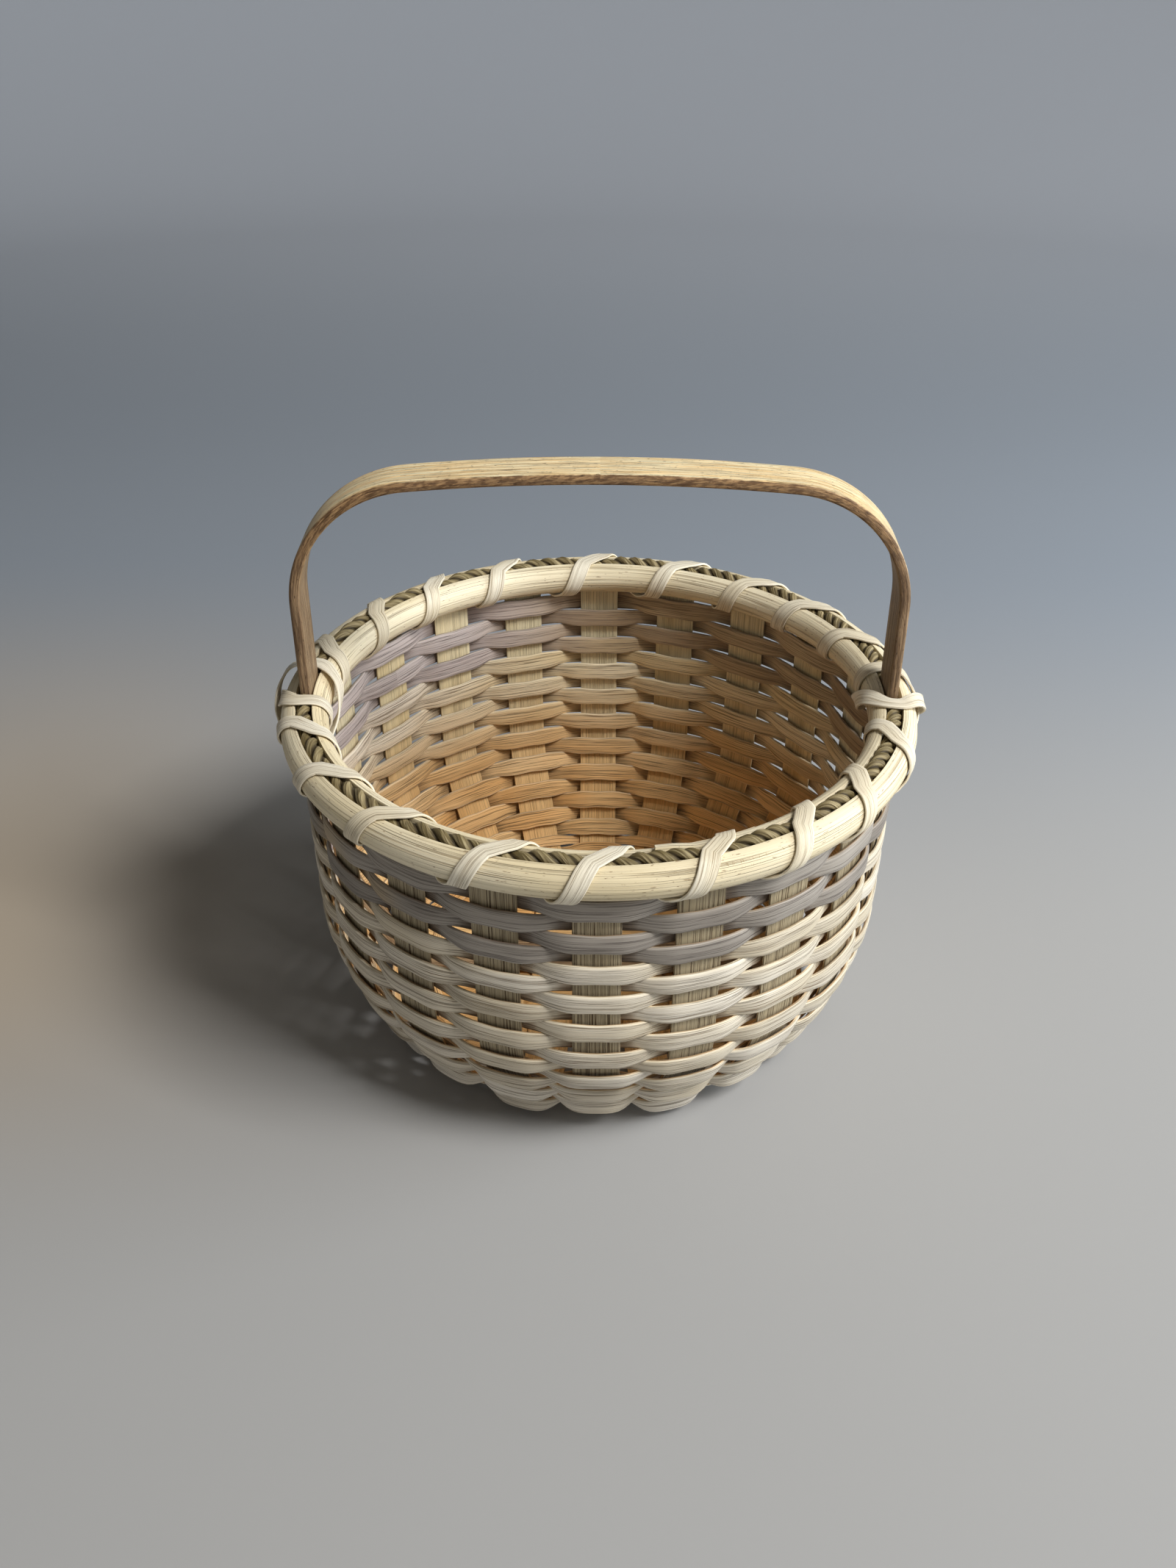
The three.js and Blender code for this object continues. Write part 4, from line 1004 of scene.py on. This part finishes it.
for number, row in enumerate(rows, start=1):
    finish, slot = (dyed_reed, "dyed_reed") if number <= DYED_ROWS else (weaver_reed, "natural_reed")
    dress(row, finish, slot, f"wall_row_{number:02d}")
for number, row in enumerate(base_rows, start=1):
    dress(row, weaver_reed, "natural_reed", f"base_row_{number:02d}")
for way, spokes in (("across", across), ("along", along)):
    for number, one in enumerate(spokes, start=1):
        dress(one, stake_reed, "natural_reed", f"spoke_{way}_{number:02d}")
dress(rim_row, dyed_reed, "dyed_reed", "rim_row")
dress(outer_hoop, hoop_reed, "hoop_reed", "outer_rim_hoop")
dress(inner_hoop, hoop_reed, "hoop_reed", "inner_rim_hoop")
for way, strands in (("back", filler_back), ("front", filler_front)):
    for strand in strands:
        dress(strand, seagrass, "seagrass", f"rim_filler_{way}")
dress(rim_lashing, lashing_reed, "lashing_reed", "rim_lashing")
dress(handle, handle_wood, "handle_oak", "handle")

# %% [markdown]
# The basket stands on a plain sweep of pale paper. The sweep is a wide round dish: it bends up far away
# on every side, so that no horizon shows.

# %% Paper sweep
SWEEP_FLAT, SWEEP_BEND, SWEEP_TOP, SWEEP_SIDES, SWEEP_ARC = 1.35, 0.7, 1.4, 96, 12


def paper_sweep():
    line = [(SWEEP_FLAT * share, 0.0) for share in (0.25, 0.5, 0.75)]
    for i in range(SWEEP_ARC + 1):
        angle = pi / 2 * i / SWEEP_ARC
        line.append((SWEEP_FLAT + SWEEP_BEND * sin(angle), SWEEP_BEND * (1 - cos(angle))))
    line.append((SWEEP_FLAT + SWEEP_BEND, SWEEP_TOP))
    turns = [TURN * k / SWEEP_SIDES for k in range(SWEEP_SIDES)]
    verts = [polar(turn, radius, height) for radius, height in line for turn in turns]
    faces = [tuple(range(SWEEP_SIDES))]
    for low in range(0, (len(line) - 1) * SWEEP_SIDES, SWEEP_SIDES):
        high = low + SWEEP_SIDES
        for k in range(SWEEP_SIDES):
            n = (k + 1) % SWEEP_SIDES
            faces.append((low + k, high + k, high + n, low + n))
    mesh = bpy.data.meshes.new("paper_sweep")
    mesh.from_pydata(verts, [], faces)
    mesh.shade_smooth()
    sheet = add_object("paper_sweep", mesh)
    paper = Finish("sweep_paper")
    side, depth, height = paper.place()
    mottle = paper.noise(side * 3.0, depth * 3.0, height * 3.0)
    paper.body = paper.mix(mottle * 0.3, "a7a6a5", "9e9e9d")
    # painted pool of warm light on the floor to the left of the basket
    painted_warm_light = paper.between(side, -0.08, -0.3) * paper.between(side, -1.2, -0.6)
    paper.over(painted_warm_light * paper.between(depth, -0.16, 0.0, 0.0, 0.8), "b8a892")
    paper.over(paper.between(depth, 0.0, 0.42), "8d949d")
    paper.over(paper.between(depth, 0.6, 1.5), "b4b9c1")
    sheet.data.materials.append(paper.surface(0.9, mottle, 0.05, 0.1))
    return sheet


sweep = paper_sweep()
print("sweep corners:", len(sweep.data.vertices))

# %% [markdown]
# Most light comes from a window high up on the right: it throws the short shadow to the left, with bright
# dots where it finds a way through the weave. A weaker, cooler window stands low on the right, a warm lamp
# fills the front, and a dim room lights what they leave. Large lamps give soft edges.

# %% Soft light
def window(name, place, target, size, power, tint):
    light = bpy.data.lights.new(name, "AREA")
    light.shape, light.size, light.energy, light.color = "SQUARE", size, power, tint
    lamp = add_object(name, light)
    lamp.location = place
    lamp.rotation_euler = (Vector(target) - Vector(place)).to_track_quat("-Z", "Y").to_euler()


window("window_above", (1.22, -0.74, 1.87), (0, 0, 0.08), 0.75, 49.0, (1.0, 0.99, 0.97))
window("window_right", (1.25, 0.0, 0.48), (0, 0, 0.1), 0.7, 12.0, (0.85, 0.93, 1.0))
window("fill_front", (0.55, -1.2, 1.15), (0, 0, 0.08), 0.9, 0.6, (1.0, 0.95, 0.86))
world = bpy.data.worlds.new("room_light")
world.use_nodes = True
world.node_tree.nodes["Background"].inputs[0].default_value = (1.0, 0.87, 0.64, 1.0)
world.node_tree.nodes["Background"].inputs[1].default_value = 0.078
scene.world = world
print("lamps: 3 and the room")

# %% [markdown]
# The camera stands 0.47 m in front of the middle of the basket and 0.41 m above the floor, and looks down
# by about a third of a right angle.

# %% Camera
CAMERA_PLACE = (0.0, -0.4695, 0.4057)
CAMERA_LOOK = (-0.00689, 0.83213, -0.55454)
CAMERA_ROLL = radians(0.135)
IMAGE_TALL, FOCAL_PIXELS, SENSOR = 2134, 1977.6, 36.0
lens = bpy.data.cameras.new("picture_camera")
lens.sensor_fit = "VERTICAL"
lens.sensor_width = lens.sensor_height = SENSOR
lens.lens = SENSOR * FOCAL_PIXELS / IMAGE_TALL
lens.clip_start, lens.clip_end = 0.02, 20.0
camera = add_object("picture_camera", lens)
camera.location = CAMERA_PLACE
aim = Vector(CAMERA_LOOK).to_track_quat("-Z", "Y").to_matrix()
camera.rotation_euler = (aim @ Matrix.Rotation(CAMERA_ROLL, 3, "Z")).to_euler()
scene.camera = camera
scene.view_settings.view_transform = "Standard"
print("lens:", round(lens.lens, 2), "mm")
